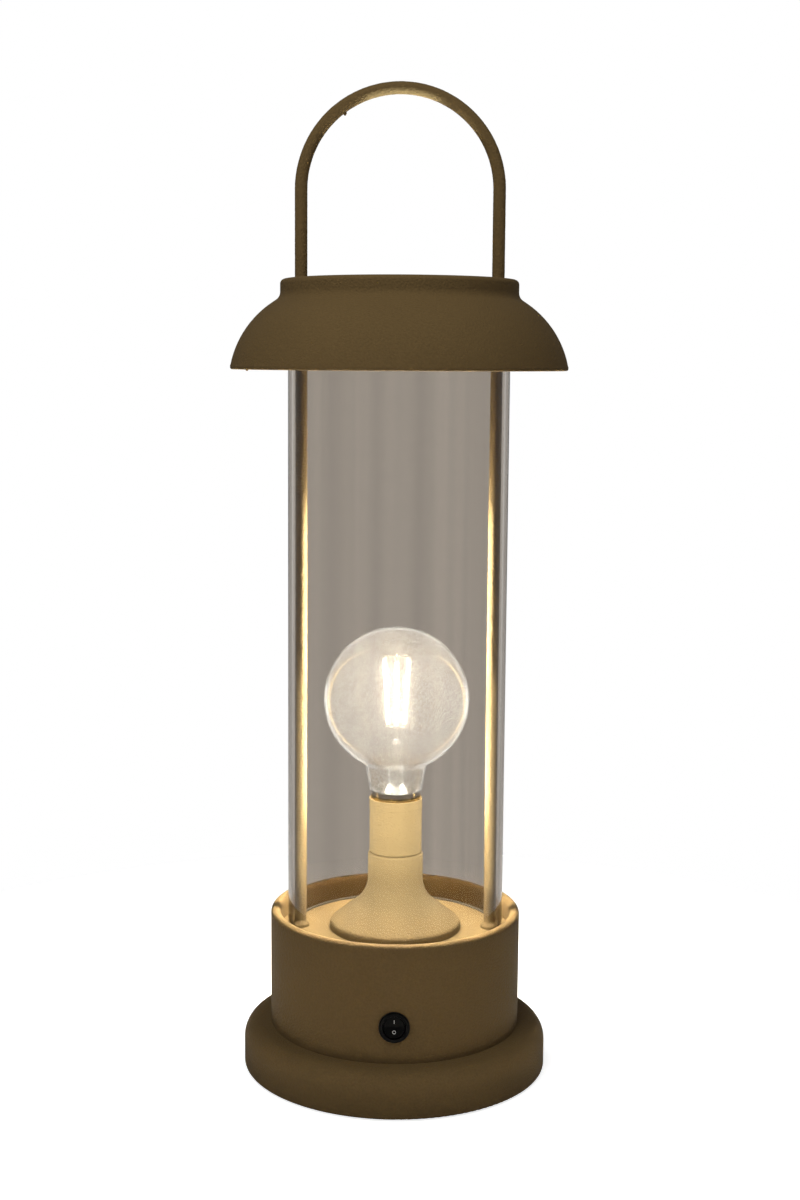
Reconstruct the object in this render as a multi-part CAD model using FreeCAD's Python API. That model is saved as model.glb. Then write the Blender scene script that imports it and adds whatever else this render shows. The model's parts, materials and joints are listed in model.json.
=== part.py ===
import FreeCAD, Part
import math
import os

from FreeCAD import Vector

# Lantern table lamp, in millimetres. The origin is on the table under the lamp's axis, +Z is up,
# the switch faces -Y and the two legs of the hoop stand on the X axis.

# ---------------------------------------------------------------- driving dimensions

# Whole lamp
lamp_height = 640.0              # table to the crown of the hoop
thread_clearance = 0.05          # between a male thread and its hole, both drawn plain
hole_clearance = 0.2             # between a shank and the plain hole it passes through
sliding_clearance = 0.3          # between faces that pass each other

# Foot, the wide low part that stands on the table
foot_radius = 100.0
foot_height = 30.0
foot_shoulder = 11.6             # rounding of the top edge
foot_edge_round = 1.5
foot_wall = 3.0
foot_lift = 1.0                  # the metal edge stays this far off the table
foot_hole_radius = 20.0

# Ballast ring under the top of the foot
weight_thickness = 12.0
weight_hole_radius = 30.0
weight_side_clearance = 0.5

# Bottom plate with its spacers, screws and pads. Every first angle is from the right leg of the hoop.
plate_thickness = 1.5
plate_side_clearance = 1.0
pad_thickness = 2.0
pad_radius = 7.0
pad_inset = 16.0                 # centre of a pad to the edge of the foot
pad_count = 4
pad_first_angle = 45.0
spacer_flats = 8.0
spacer_inset = 22.0              # centre of a spacer to the edge of the foot
spacer_count = 3
spacer_first_angle = 90.0
plate_screw_radius = 2.0         # M4
plate_screw_length = 7.0
plate_screw_head_radius = 3.5
plate_screw_head_height = 1.2

# Drum, which stands on the foot
drum_radius = 82.3
drum_top = 106.0
drum_wall = 2.3
rim_width = 6.5
rim_round = 3.0
ledge_width = 3.8
ledge_thickness = 3.0

# Deck, the floor of the recess in the drum
deck_top = 92.5
deck_thickness = 3.0
deck_edge_gap = 0.3

# Tie posts that clamp deck, drum and foot together
post_flats = 10.0
post_inset = 16.0                # centre of a post to the inner wall of the drum
post_count = 4
post_first_angle = 45.0
post_end_gap = 0.5               # the clamped stack closes before the post bottoms out
deck_stud_radius = 2.5           # M5, welded to the deck
deck_stud_length = 10.0
tie_screw_radius = 2.5           # M5
tie_screw_length = 30.0
tie_screw_head_radius = 4.5
tie_screw_head_height = 3.0

# Hoop: one bent rod, both the posts of the lantern and its handle
rod_radius = 4.0
rod_gap = 3.25                   # between a leg and the glass
flare_radius = 6.0               # shoulder at each foot of the hoop
flare_height = 4.5
foot_thread_radius = 3.0         # M6 stud below the shoulder
foot_thread_length = 11.0
hoop_washer_radius = 6.0
hoop_washer_thickness = 1.2
hoop_nut_flats = 10.0
hoop_nut_thickness = 5.0

# Glass tube and its seat
glass_gap = 4.8                  # between the glass and the wall of the recess
glass_wall = 3.0
glass_length = 410.0
glass_edge_round = 0.9
seat_thickness = 1.0
seat_overhang = 0.5

# Roof, a spun shell that can be pushed up the legs of the hoop
roof_top = 517.0
roof_height = 57.0
roof_wall = 1.5
roof_rim_radius = 107.9
roof_neck_gap = 5.0              # from the outer face of the glass to that of the neck
roof_neck_round = 3.0
roof_cove_height = 45.7          # above the rim, where the dome turns into the neck
roof_cove_round = 6.0
roof_dome_corner_inset = 5.2     # inside the rim
roof_dome_corner_height = 27.7   # above the rim
roof_dome_round_share = 0.98     # of the shorter side of the corner, taken up by its rounding
hem_width = 2.8
hem_height = 3.4
hem_round = 1.3
vent_radius = 37.0
vent_lip = 5.0
vent_lip_round = 2.0

# Plain bushes that guide the roof, and the collars it rests on
bush_wall = 1.2
bush_flange_radius = 6.2
bush_flange_thickness = 1.5
collar_radius = 6.2
collar_height = 6.0
set_screw_radius = 1.5           # M3
set_screw_length = 2.6

# Stand, the trumpet under the lamp holder
stand_radius = 43.0
stand_edge_corner = 4.8          # above the deck, where the flare meets the upright edge
stand_edge_round = 3.5
stand_collar_radius = 18.1
stand_cove_height = 23.9         # above the deck, where the flare meets the collar
stand_cove_round = 22.0
stand_height = 51.5
stand_top_round = 1.5
stand_wall = 1.8

# Threaded tube that ties stand and holder to the deck
tube_radius = 5.0                # M10 x 1
tube_bore_radius = 3.9
tube_below_deck = 12.0
tube_above_stand = 6.0
tube_washer_radius = 9.0
tube_washer_thickness = 1.0
tube_nut_flats = 14.0
tube_nut_thickness = 4.0

# Lamp holder
sleeve_radius = 17.2
sleeve_height = 30.0
sleeve_wall = 1.3
sleeve_floor = 1.5
sleeve_foot_round = 1.2
ring_radius = 17.4
ring_height = 6.3
ring_edge_round = 0.5
insulator_clearance = 0.3
insulator_floor = 5.0
shell_wall = 0.5                 # brass screw shell
shell_height = 22.5
shell_flange_radius = 16.6
shell_flange_thickness = 1.4
cap_clearance = 0.3              # bulb cap inside the screw shell
contact_width = 5.0
contact_thickness = 0.5
contact_length = 9.0
shell_tab_width = 4.0
shell_tab_end = 0.4              # its foot stops this far from the axis

# Bulb, 95 mm globe with a 27 mm screw cap
globe_radius = 47.5
globe_rise = 64.1                # the globe's centre above the skirt of the cap
globe_wall = 0.8
neck_top_radius = 20.4
neck_bottom_radius = 17.3
neck_bottom_round = 2.2
neck_cove_round = 3.0
cap_radius = 13.15
cap_root_radius = 12.35
cap_pitch = 3.63
cap_thread_turns = 4
cap_wall = 0.4
cap_length = 22.0
skirt_radius = 15.6
skirt_height = 3.3
skirt_round = 0.6
cone_height = 4.0
tip_radius = 4.8
tip_height = 2.0
tip_round = 0.8
stem_foot_radius = 11.0
stem_foot_round = 8.0
stem_radius = 3.6
stem_height = 36.0               # from the skirt to the top of the press
pillar_radius = 1.5
pillar_height = 94.0             # from the skirt
filament_radius = 1.0
filament_length = 46.0
filament_rise = 46.0             # from the skirt to the filaments' lower ends
filament_low_circle = 6.0
filament_high_circle = 9.5
filament_count = 6
support_radius = 0.4
driver_radius = 9.5
driver_height = 14.0
driver_rise = 2.0                # above the cap's cone

# Rocker switch in the front of the drum
switch_height = 53.8
bezel_radius = 9.8
bezel_thickness = 2.2
bezel_round = 0.8
switch_body_radius = 8.5
switch_body_length = 15.0
switch_facet_margin = 0.3
switch_cavity_radius = 7.3
switch_cavity_depth = 6.0
ear_height = 0.9
ear_width = 4.0
ear_length = 6.0
rocker_radius = 6.7
rocker_back = 4.0                # behind the bezel's back face
rocker_middle = 0.6              # front of the rocker at its middle, before the bezel's back face
rocker_half_angle = 10.0         # degrees each side of level
rocker_axis_depth = 1.0
pivot_radius = 0.8
pivot_reach = 1.0
pivot_clearance = 0.05
terminal_width = 4.8
terminal_thickness = 0.8
terminal_length = 8.0
terminal_spacing = 7.0

# Cord gland in the back of the drum
gland_height = 46.0
gland_flange_radius = 8.5
gland_flange_thickness = 2.5
gland_flange_round = 1.0
gland_body_radius = 6.5
gland_bore_radius = 3.6
gland_body_length = 12.0
gland_facet_margin = 0.3
gland_nut_flats = 17.0
gland_nut_thickness = 4.0

# Terminal block on the foot, inside the drum
block_centre = (-28.0, 20.0)
block_size = (18.0, 16.0, 14.0)
block_pole_spacing = 10.0
block_clamp_radius = 2.2
block_clamp_bore = 1.3
block_entry_height = 7.0
block_screw_radius = 1.5
block_screw_length = 16.0
block_screw_head_radius = 2.8
block_screw_head_height = 2.0

# Inner leads
lead_radius = 1.0
lead_bend = 6.0
lead_offset = 1.6                # each lead from the axis, inside the threaded tube

# ---------------------------------------------------------------- places that follow from them

weight_top = foot_height - foot_wall
weight_bottom = weight_top - weight_thickness
weight_radius = foot_radius - foot_shoulder - weight_side_clearance
plate_bottom = pad_thickness
plate_top = plate_bottom + plate_thickness
plate_radius = foot_radius - foot_wall - plate_side_clearance
pad_circle = foot_radius - pad_inset
spacer_circle = foot_radius - spacer_inset

drum_inner_radius = drum_radius - drum_wall
post_circle = drum_inner_radius - post_inset
recess_radius = drum_radius - rim_width
deck_bottom = deck_top - deck_thickness
deck_radius = recess_radius - deck_edge_gap
ledge_radius = recess_radius - ledge_width
ledge_bottom = deck_bottom - ledge_thickness

glass_radius = recess_radius - glass_gap
glass_inner_radius = glass_radius - glass_wall
glass_bottom = deck_top + seat_thickness
glass_top = glass_bottom + glass_length
hoop_half_span = glass_inner_radius - rod_gap - rod_radius
arch_centre = lamp_height - rod_radius - hoop_half_span

roof_rim = roof_top - roof_height
roof_ceiling = roof_top - roof_wall
roof_neck_radius = glass_radius + roof_neck_gap
bush_radius = rod_radius + sliding_clearance + bush_wall
collar_top = roof_ceiling - bush_flange_thickness

stand_top = deck_top + stand_height
sleeve_floor_top = stand_top + sleeve_floor
sleeve_top = stand_top + sleeve_height
ring_top = sleeve_top + ring_height
tube_bottom = deck_bottom - tube_below_deck
tube_top = stand_top + tube_above_stand

shell_top = ring_top + shell_flange_thickness
shell_bottom = shell_top - shell_height
shell_inner_radius = cap_radius + cap_clearance
shell_radius = shell_inner_radius + shell_wall
skirt_bottom = shell_top + sliding_clearance
neck_bottom = skirt_bottom + skirt_height
globe_centre = skirt_bottom + globe_rise
filament_bottom = skirt_bottom + filament_rise
insulator_radius = sleeve_radius - sleeve_wall - insulator_clearance
insulator_inner_radius = shell_radius + thread_clearance
cone_top = skirt_bottom - cap_length
cone_bottom = cone_top - cone_height
tip_bottom = cone_bottom - tip_height
tongue_top = tip_bottom - sliding_clearance
tongue_bottom = tongue_top - contact_thickness
holder_floor_top = sleeve_floor_top + insulator_floor

switch_facet = -math.sqrt(drum_radius ** 2 - (bezel_radius + switch_facet_margin) ** 2)
gland_facet = math.sqrt(drum_radius ** 2 - (gland_flange_radius + gland_facet_margin) ** 2)

nodes = {}


# ---------------------------------------------------------------- helpers

def rounded_edges(corners):
    """A closed outline through corners (radius, height, rounding) of the XZ plane."""
    count = len(corners)
    points = [Vector(corner[0], 0, corner[1]) for corner in corners]
    pieces = []
    for index, corner in enumerate(corners):
        here = points[index]
        rounding = corner[2] if len(corner) > 2 else 0.0
        if rounding <= 0.0:
            pieces.append((here, None, here))
            continue
        back = (points[index - 1] - here).normalize()
        ahead = (points[(index + 1) % count] - here).normalize()
        half = back.getAngle(ahead) / 2
        reach = rounding / math.tan(half)
        inward = (back + ahead).normalize()
        middle = here + inward * (rounding / math.sin(half) - rounding)
        pieces.append((here + back * reach, middle, here + ahead * reach))
    edges = []
    for index, (arrive, middle, leave) in enumerate(pieces):
        if middle is not None:
            edges.append(Part.Arc(arrive, middle, leave).toShape())
        following = pieces[(index + 1) % count][0]
        if leave.distanceToPoint(following) > 1e-6:
            edges.append(Part.LineSegment(leave, following).toShape())
    return edges


def inset(corners, wall):
    """The same open outline moved to the right of its direction by the wall thickness."""
    points = [Vector(corner[0], 0, corner[1]) for corner in corners]
    runs = [(points[i + 1] - points[i]).normalize() for i in range(len(points) - 1)]
    sides = [Vector(run.z, 0, -run.x) for run in runs]
    moved = []
    for index, point in enumerate(points):
        rounding = corners[index][2] if len(corners[index]) > 2 else 0.0
        if index == 0:
            shift = sides[0]
        elif index == len(points) - 1:
            shift = sides[-1]
        else:
            before, after = sides[index - 1], sides[index]
            shift = (before + after) * (1 / (1 + before.dot(after)))
            turn = runs[index - 1].x * runs[index].z - runs[index - 1].z * runs[index].x
            if rounding > 0 and turn > 0:
                rounding = rounding + wall
            elif rounding > 0:
                rounding = max(rounding - wall, 0.0)
        place = point + shift * wall
        moved.append((place.x, place.z, rounding))
    return moved


def turned(corners):
    """A solid turned about the lamp's axis from its closed half section."""
    section = Part.Face(Part.Wire(Part.__sortEdges__(rounded_edges(corners))))
    return section.revolve(Vector(0, 0, 0), Vector(0, 0, 1), 360)


def turned_shell(corners, wall):
    """A thin turned shell: the outline of its outer face, and its wall to the right of it."""
    return turned(corners + inset(corners, wall)[::-1])


def cylinder(radius, bottom, top, x=0.0, y=0.0):
    return Part.makeCylinder(radius, top - bottom, Vector(x, y, bottom))


def tube(radius, bore, bottom, top, x=0.0, y=0.0):
    return cylinder(radius, bottom, top, x, y).cut(cylinder(bore, bottom, top, x, y))


def hexagon(flats, bottom, top):
    corner = flats / math.sqrt(3)
    turns = [math.radians(60 * i) for i in range(7)]
    outline = [Vector(corner * math.cos(a), corner * math.sin(a), bottom) for a in turns]
    return Part.Face(Part.makePolygon(outline)).extrude(Vector(0, 0, top - bottom))


def hex_nut(flats, bore, bottom, top):
    """A nut whose corners are chamfered by a cone on both faces."""
    corner = flats / math.sqrt(3)
    bevel = corner - flats / 2
    guard = turned([(0, bottom), (flats / 2, bottom), (corner, bottom + bevel / 2),
                    (corner, top - bevel / 2), (flats / 2, top), (0, top)])
    return hexagon(flats, bottom, top).common(guard).cut(cylinder(bore, bottom, top))


def screw_up(radius, length, head_radius, head_height, seat):
    """A pan-head screw that points up, its head under the seat, with a slot in the head."""
    slot_width = head_radius / 3
    slot_depth = head_height / 2
    low = seat - head_height
    body = turned([(0, low), (head_radius, low, head_height / 2), (head_radius, seat),
                   (radius, seat), (radius, seat + length), (0, seat + length)])
    slot = Part.makeBox(2 * head_radius, slot_width, slot_depth,
                        Vector(-head_radius, -slot_width / 2, low))
    return body.cut(slot)


def around(shape, count, circle, first_angle):
    """Copies of a shape from the axis, spread evenly on a circle about it."""
    copies = []
    for index in range(count):
        angle = math.radians(first_angle + index * 360.0 / count)
        copy = shape.copy()
        copy.translate(Vector(circle * math.cos(angle), circle * math.sin(angle), 0))
        copies.append(copy)
    return copies


def on_legs(shape):
    """One copy of a shape on each leg of the hoop, the second turned to mirror the first."""
    right = shape.copy()
    right.translate(Vector(hoop_half_span, 0, 0))
    left = right.copy()
    left.rotate(Vector(0, 0, 0), Vector(0, 0, 1), 180)
    return [right, left]


def cut_all(shape, tools):
    for tool in tools:
        shape = shape.cut(tool)
    return shape


def facing(shape, height, face, front):
    """Stand a shape, modelled along +Z from z = 0, on a facet of the drum's front or back."""
    placed = shape.copy()
    placed.rotate(Vector(0, 0, 0), Vector(1, 0, 0), 90 if front else -90)
    placed.translate(Vector(0, face, height))
    return placed


def lead(points):
    """A wire along straight runs joined by tangent arcs."""
    route = [Vector(*point) for point in points]
    edges = []
    start = route[0]
    for before, here, after in zip(route, route[1:], route[2:]):
        back = (before - here).normalize()
        ahead = (after - here).normalize()
        half = back.getAngle(ahead) / 2
        reach = lead_bend / math.tan(half)
        middle = here + (back + ahead).normalize() * (lead_bend / math.sin(half) - lead_bend)
        edges.append(Part.LineSegment(start, here + back * reach).toShape())
        edges.append(Part.Arc(here + back * reach, middle, here + ahead * reach).toShape())
        start = here + ahead * reach
    edges.append(Part.LineSegment(start, route[-1]).toShape())
    path = Part.Wire(edges)
    section = Part.Wire(Part.makeCircle(lead_radius, route[0], route[1] - route[0]))
    return path.makePipeShell([section], True, False)


def add(name, *solids):
    nodes[name] = list(solids)


# ---------------------------------------------------------------- foot

def make_foot():
    inner = foot_radius - foot_wall
    inner_round = foot_shoulder - foot_wall
    shell = turned([(foot_hole_radius, weight_top), (foot_hole_radius, foot_height),
                    (foot_radius, foot_height, foot_shoulder),
                    (foot_radius, foot_lift, foot_edge_round),
                    (inner, foot_lift), (inner, weight_top, inner_round)])
    tie_hole = cylinder(tie_screw_radius + hole_clearance, weight_top, foot_height)
    block_hole = cylinder(block_screw_radius - thread_clearance, weight_top, foot_height,
                          *block_centre)
    shell = cut_all(shell, around(tie_hole, post_count, post_circle, post_first_angle))
    add("base_foot", shell.cut(block_hole))

    weight = tube(weight_radius, weight_hole_radius, weight_bottom, weight_top)
    tie_hole = cylinder(tie_screw_radius + hole_clearance, weight_bottom, weight_top)
    head_room = cylinder(tie_screw_head_radius + hole_clearance, weight_bottom,
                         weight_bottom + tie_screw_head_height)
    stud_hole = cylinder(plate_screw_radius + thread_clearance, weight_bottom, weight_top)
    block_room = cylinder(block_screw_head_radius, weight_bottom, weight_top, *block_centre)
    weight = cut_all(weight, around(tie_hole, post_count, post_circle, post_first_angle))
    weight = cut_all(weight, around(head_room, post_count, post_circle, post_first_angle))
    weight = cut_all(weight, around(stud_hole, spacer_count, spacer_circle, spacer_first_angle))
    add("base_weight", weight.cut(block_room))

    plate = cylinder(plate_radius, plate_bottom, plate_top)
    screw_hole = cylinder(plate_screw_radius + hole_clearance, plate_bottom, plate_top)
    add("bottom_plate", cut_all(plate, around(screw_hole, spacer_count, spacer_circle, spacer_first_angle)))

    pad = turned([(0, 0), (pad_radius, 0, pad_thickness / 4), (pad_radius, pad_thickness),
                  (0, pad_thickness)])
    add("foot_pads", *around(pad, pad_count, pad_circle, pad_first_angle))

    spacer_stud = cylinder(plate_screw_radius, weight_bottom, weight_bottom + weight_thickness / 2)
    spacer = hexagon(spacer_flats, plate_top, weight_bottom).fuse(spacer_stud)
    spacer_bore = cylinder(plate_screw_radius + thread_clearance, plate_top,
                           plate_top + plate_screw_length)
    add("plate_spacers", *around(spacer.cut(spacer_bore), spacer_count, spacer_circle, spacer_first_angle))

    plate_screw = screw_up(plate_screw_radius, plate_screw_length, plate_screw_head_radius,
                           plate_screw_head_height, plate_bottom)
    add("plate_screws", *around(plate_screw, spacer_count, spacer_circle, spacer_first_angle))


# ---------------------------------------------------------------- drum and deck

def make_drum():
    shell = turned([(drum_inner_radius, foot_height), (drum_radius, foot_height),
                    (drum_radius, drum_top, rim_round), (recess_radius, drum_top, rim_round),
                    (recess_radius, deck_bottom), (ledge_radius, deck_bottom),
                    (ledge_radius, ledge_bottom),
                    (drum_inner_radius, ledge_bottom - (drum_inner_radius - ledge_radius))])
    through = 2 * rim_width
    bezel_seat = Part.makeCylinder(bezel_radius + switch_facet_margin, through)
    shell = shell.cut(facing(bezel_seat, switch_height, switch_facet, True))
    body_hole = Part.makeCylinder(switch_body_radius + hole_clearance, through)
    shell = shell.cut(facing(body_hole, switch_height, switch_facet + through / 2, True))
    flange_seat = Part.makeCylinder(gland_flange_radius + gland_facet_margin, through)
    shell = shell.cut(facing(flange_seat, gland_height, gland_facet, False))
    gland_hole = Part.makeCylinder(gland_body_radius + hole_clearance, through)
    shell = shell.cut(facing(gland_hole, gland_height, gland_facet - through / 2, False))
    add("drum_shell", shell)


def make_deck():
    plate = cylinder(deck_radius, deck_bottom, deck_top)
    plate = cut_all(plate, on_legs(cylinder(foot_thread_radius + hole_clearance, deck_bottom, deck_top)))
    plate = plate.cut(cylinder(tube_radius + hole_clearance, deck_bottom, deck_top))
    stud = cylinder(deck_stud_radius, deck_bottom - deck_stud_length, deck_bottom)
    for welded in around(stud, post_count, post_circle, post_first_angle):
        plate = plate.fuse(welded)
    add("deck_plate", plate)

    post = hexagon(post_flats, foot_height + post_end_gap, deck_bottom)
    stud_bore = cylinder(deck_stud_radius + thread_clearance,
                         deck_bottom - deck_stud_length - post_end_gap, deck_bottom)
    screw_seat = weight_bottom + tie_screw_head_height
    screw_tip = screw_seat + tie_screw_length
    screw_bore = cylinder(tie_screw_radius + thread_clearance, foot_height, screw_tip + post_end_gap)
    post = post.cut(stud_bore).cut(screw_bore)
    add("tie_posts", *around(post, post_count, post_circle, post_first_angle))

    tie_screw = screw_up(tie_screw_radius, tie_screw_length, tie_screw_head_radius,
                         tie_screw_head_height, screw_seat)
    add("tie_screws", *around(tie_screw, post_count, post_circle, post_first_angle))


# ---------------------------------------------------------------- hoop

def make_hoop():
    section = Part.Face(Part.Wire(Part.makeCircle(
        rod_radius, Vector(hoop_half_span, 0, arch_centre), Vector(0, 0, 1))))
    rod = section.revolve(Vector(0, 0, arch_centre), Vector(0, -1, 0), 180)
    for leg in on_legs(cylinder(rod_radius, deck_top, arch_centre)):
        rod = rod.fuse(leg)
    flare_step = flare_radius - rod_radius
    shoulder = turned([(0, deck_top), (flare_radius, deck_top),
                       (flare_radius, deck_top + flare_height / 4),
                       (rod_radius, deck_top + flare_height / 4 + flare_step, flare_step / 2),
                       (rod_radius, deck_top + flare_height), (0, deck_top + flare_height)])
    stud = cylinder(foot_thread_radius, deck_top - foot_thread_length, deck_top)
    for foot in on_legs(shoulder.fuse(stud)):
        rod = rod.fuse(foot)
    rod = cut_all(rod, on_legs(collar_screw_dimple()))
    add("hoop", rod.removeSplitter())

    washer_bottom = deck_bottom - hoop_washer_thickness
    washer = tube(hoop_washer_radius, foot_thread_radius + hole_clearance, washer_bottom, deck_bottom)
    add("hoop_washers", *on_legs(washer))
    nut = hex_nut(hoop_nut_flats, foot_thread_radius + thread_clearance,
                  washer_bottom - hoop_nut_thickness, washer_bottom)
    add("hoop_nuts", *on_legs(nut))


def collar_screw_dimple():
    """The flat-bottomed dimple in a leg where the set screw of its collar bites."""
    bottom = Vector(set_screw_length - collar_radius, 0, collar_top - collar_height / 2)
    return Part.makeCylinder(set_screw_radius, rod_radius, bottom, Vector(-1, 0, 0))


# ---------------------------------------------------------------- glass

def make_glass():
    seat_inner = glass_inner_radius - seat_overhang
    seat_outer = glass_radius + seat_overhang
    add("glass_seat", tube(seat_outer, seat_inner, deck_top, glass_bottom))
    add("glass_tube", turned([(glass_inner_radius, glass_bottom, glass_edge_round),
                              (glass_inner_radius, glass_top, glass_edge_round),
                              (glass_radius, glass_top, glass_edge_round),
                              (glass_radius, glass_bottom, glass_edge_round)]))


# ---------------------------------------------------------------- roof

def make_roof():
    cove = Vector(roof_neck_radius, 0, roof_rim + roof_cove_height)
    corner = Vector(roof_rim_radius - roof_dome_corner_inset, 0, roof_rim + roof_dome_corner_height)
    edge = Vector(roof_rim_radius, 0, roof_rim + hem_height / 2)
    shorter_side = min((cove - corner).Length - roof_cove_round, (edge - corner).Length)
    half_angle = (cove - corner).getAngle(edge - corner) / 2
    dome_round = roof_dome_round_share * shorter_side * math.tan(half_angle)
    skin = turned_shell([(vent_radius, roof_top - vent_lip),
                         (vent_radius, roof_top, vent_lip_round),
                         (roof_neck_radius, roof_top, roof_neck_round),
                         (cove.x, cove.z, roof_cove_round),
                         (corner.x, corner.z, dome_round),
                         (edge.x, edge.z)], roof_wall)
    hem_inner = roof_rim_radius - hem_width
    hem = turned([(hem_inner, roof_rim, hem_round), (hem_inner, roof_rim + hem_height, hem_round),
                  (roof_rim_radius, roof_rim + hem_height, hem_round),
                  (roof_rim_radius, roof_rim, hem_round)])
    bush_hole = cylinder(bush_radius + thread_clearance, roof_ceiling - roof_wall, roof_top + roof_wall)
    add("roof_shell", cut_all(skin.fuse(hem), on_legs(bush_hole)))

    bush = turned([(rod_radius + sliding_clearance, collar_top),
                   (bush_flange_radius, collar_top),
                   (bush_flange_radius, roof_ceiling), (bush_radius, roof_ceiling),
                   (bush_radius, roof_top), (rod_radius + sliding_clearance, roof_top)])
    add("roof_bushes", *on_legs(bush))

    collar = tube(collar_radius, rod_radius + thread_clearance, collar_top - collar_height, collar_top)
    screw_place = Vector(-collar_radius, 0, collar_top - collar_height / 2)
    screw_hole = Part.makeCylinder(set_screw_radius + thread_clearance, collar_radius, screw_place,
                                   Vector(1, 0, 0))
    add("stop_collars", *on_legs(collar.cut(screw_hole)))
    set_screw = Part.makeCylinder(set_screw_radius - thread_clearance, set_screw_length, screw_place,
                                  Vector(1, 0, 0))
    socket = Part.makeCylinder(set_screw_radius / 2, set_screw_length / 2, screw_place, Vector(1, 0, 0))
    add("collar_set_screws", *on_legs(set_screw.cut(socket)))


# ---------------------------------------------------------------- stand and holder

def make_stand():
    tube_hole = tube_radius + hole_clearance
    add("lamp_stand", turned_shell([
        (tube_hole, stand_top), (stand_collar_radius, stand_top, stand_top_round),
        (stand_collar_radius, deck_top + stand_cove_height, stand_cove_round),
        (stand_radius, deck_top + stand_edge_corner, stand_edge_round),
        (stand_radius, deck_top)], stand_wall))

    add("threaded_tube", tube(tube_radius, tube_bore_radius, tube_bottom, tube_top))
    washer_bottom = deck_bottom - tube_washer_thickness
    add("tube_washer", tube(tube_washer_radius, tube_radius + hole_clearance, washer_bottom, deck_bottom))
    add("tube_nut", hex_nut(tube_nut_flats, tube_radius + thread_clearance,
                            washer_bottom - tube_nut_thickness, washer_bottom))


def make_holder():
    sleeve_inner = sleeve_radius - sleeve_wall
    add("holder_sleeve", turned([
        (tube_radius + hole_clearance, stand_top), (sleeve_radius, stand_top, sleeve_foot_round),
        (sleeve_radius, sleeve_top), (sleeve_inner, sleeve_top), (sleeve_inner, sleeve_floor_top),
        (tube_radius + hole_clearance, sleeve_floor_top)]))
    add("holder_ring", turned([
        (insulator_radius + insulator_clearance, sleeve_top), (ring_radius, sleeve_top, ring_edge_round),
        (ring_radius, ring_top, ring_edge_round / 2), (insulator_radius + insulator_clearance, ring_top)]))

    insulator = turned([
        (tube_radius + thread_clearance, sleeve_floor_top), (insulator_radius, sleeve_floor_top),
        (insulator_radius, ring_top), (insulator_inner_radius, ring_top),
        (insulator_inner_radius, holder_floor_top), (tube_radius + thread_clearance, holder_floor_top)])
    add("holder_insulator", insulator)

    shell = turned([
        (shell_inner_radius, shell_bottom), (shell_radius, shell_bottom),
        (shell_radius, ring_top), (shell_flange_radius, ring_top),
        (shell_flange_radius, shell_top, shell_flange_thickness / 3),
        (shell_inner_radius, shell_top, shell_flange_thickness / 3)])
    add("holder_screw_shell", shell)

    tongue = Part.makeBox(contact_length, contact_width, contact_thickness,
                          Vector(-tip_radius / 2, -contact_width / 2, tongue_bottom))
    leg_x = contact_length - tip_radius / 2 - contact_thickness
    leg = Part.makeBox(contact_thickness, contact_width, tongue_top - holder_floor_top,
                       Vector(leg_x, -contact_width / 2, holder_floor_top))
    add("centre_contact", tongue.fuse(leg).removeSplitter())

    tab_x = math.sqrt(shell_radius ** 2 - (shell_tab_width / 2) ** 2)
    tab = Part.makeBox(contact_thickness, shell_tab_width, shell_bottom - holder_floor_top,
                       Vector(-tab_x, -shell_tab_width / 2, holder_floor_top))
    foot = Part.makeBox(tab_x - shell_tab_end, shell_tab_width, contact_thickness,
                        Vector(-tab_x, -shell_tab_width / 2, holder_floor_top))
    add("shell_contact", tab.fuse(foot).removeSplitter())


# ---------------------------------------------------------------- bulb

def make_bulb():
    dip = math.acos(neck_top_radius / globe_radius)
    low_corner = globe_centre - globe_radius * math.tan(dip / 2)
    neck_join = globe_centre - globe_radius * math.sin(dip)
    glass_foot = cap_radius - cap_wall - thread_clearance
    add("bulb_globe", turned_shell([
        (0, globe_centre + globe_radius),
        (globe_radius, globe_centre + globe_radius, globe_radius),
        (globe_radius, low_corner, globe_radius),
        (neck_top_radius - neck_cove_round / 2, neck_join - neck_cove_round / 4, neck_cove_round),
        (neck_bottom_radius, neck_bottom, neck_bottom_round),
        (glass_foot, neck_bottom, globe_wall),
        (glass_foot, skirt_bottom - cap_pitch / 2)], globe_wall))

    outline = [(skirt_radius, neck_bottom), (skirt_radius, skirt_bottom, skirt_round),
               (cap_radius, skirt_bottom, cap_wall / 2)]
    thread_top = skirt_bottom - cap_pitch / 2
    crest_round = cap_pitch / 6
    for turn in range(cap_thread_turns):
        root_height = thread_top - turn * cap_pitch - cap_pitch / 2
        outline.append((cap_radius, root_height + cap_pitch / 2, crest_round))
        outline.append((cap_root_radius, root_height, crest_round))
    outline.append((cap_radius, thread_top - cap_thread_turns * cap_pitch, crest_round))
    outline.append((cap_radius, cone_top))
    add("bulb_cap", turned_shell(outline, cap_wall))

    cone = turned([(0, cone_bottom), (tip_radius, cone_bottom), (cap_radius - cap_wall, cone_top),
                   (0, cone_top)])
    add("cap_insulator", cone)
    add("cap_tip", turned([(0, tip_bottom), (tip_radius, tip_bottom, tip_round),
                           (tip_radius, cone_bottom), (0, cone_bottom)]))
    driver_bottom = cone_top + driver_rise
    add("bulb_driver", turned([(0, cone_top), (driver_radius / 2, cone_top),
                               (driver_radius / 2, driver_bottom), (driver_radius, driver_bottom),
                               (driver_radius, cone_top + driver_height), (0, cone_top + driver_height)]))

    stem_bottom = cone_top + driver_height
    stem_top = skirt_bottom + stem_height
    add("bulb_stem", turned([
        (0, stem_bottom), (stem_foot_radius, stem_bottom),
        (stem_foot_radius, stem_bottom + globe_wall),
        (stem_radius, skirt_bottom, stem_foot_round), (stem_radius, stem_top, pillar_radius),
        (pillar_radius, stem_top), (pillar_radius, skirt_bottom + pillar_height),
        (0, skirt_bottom + pillar_height)]))


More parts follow.
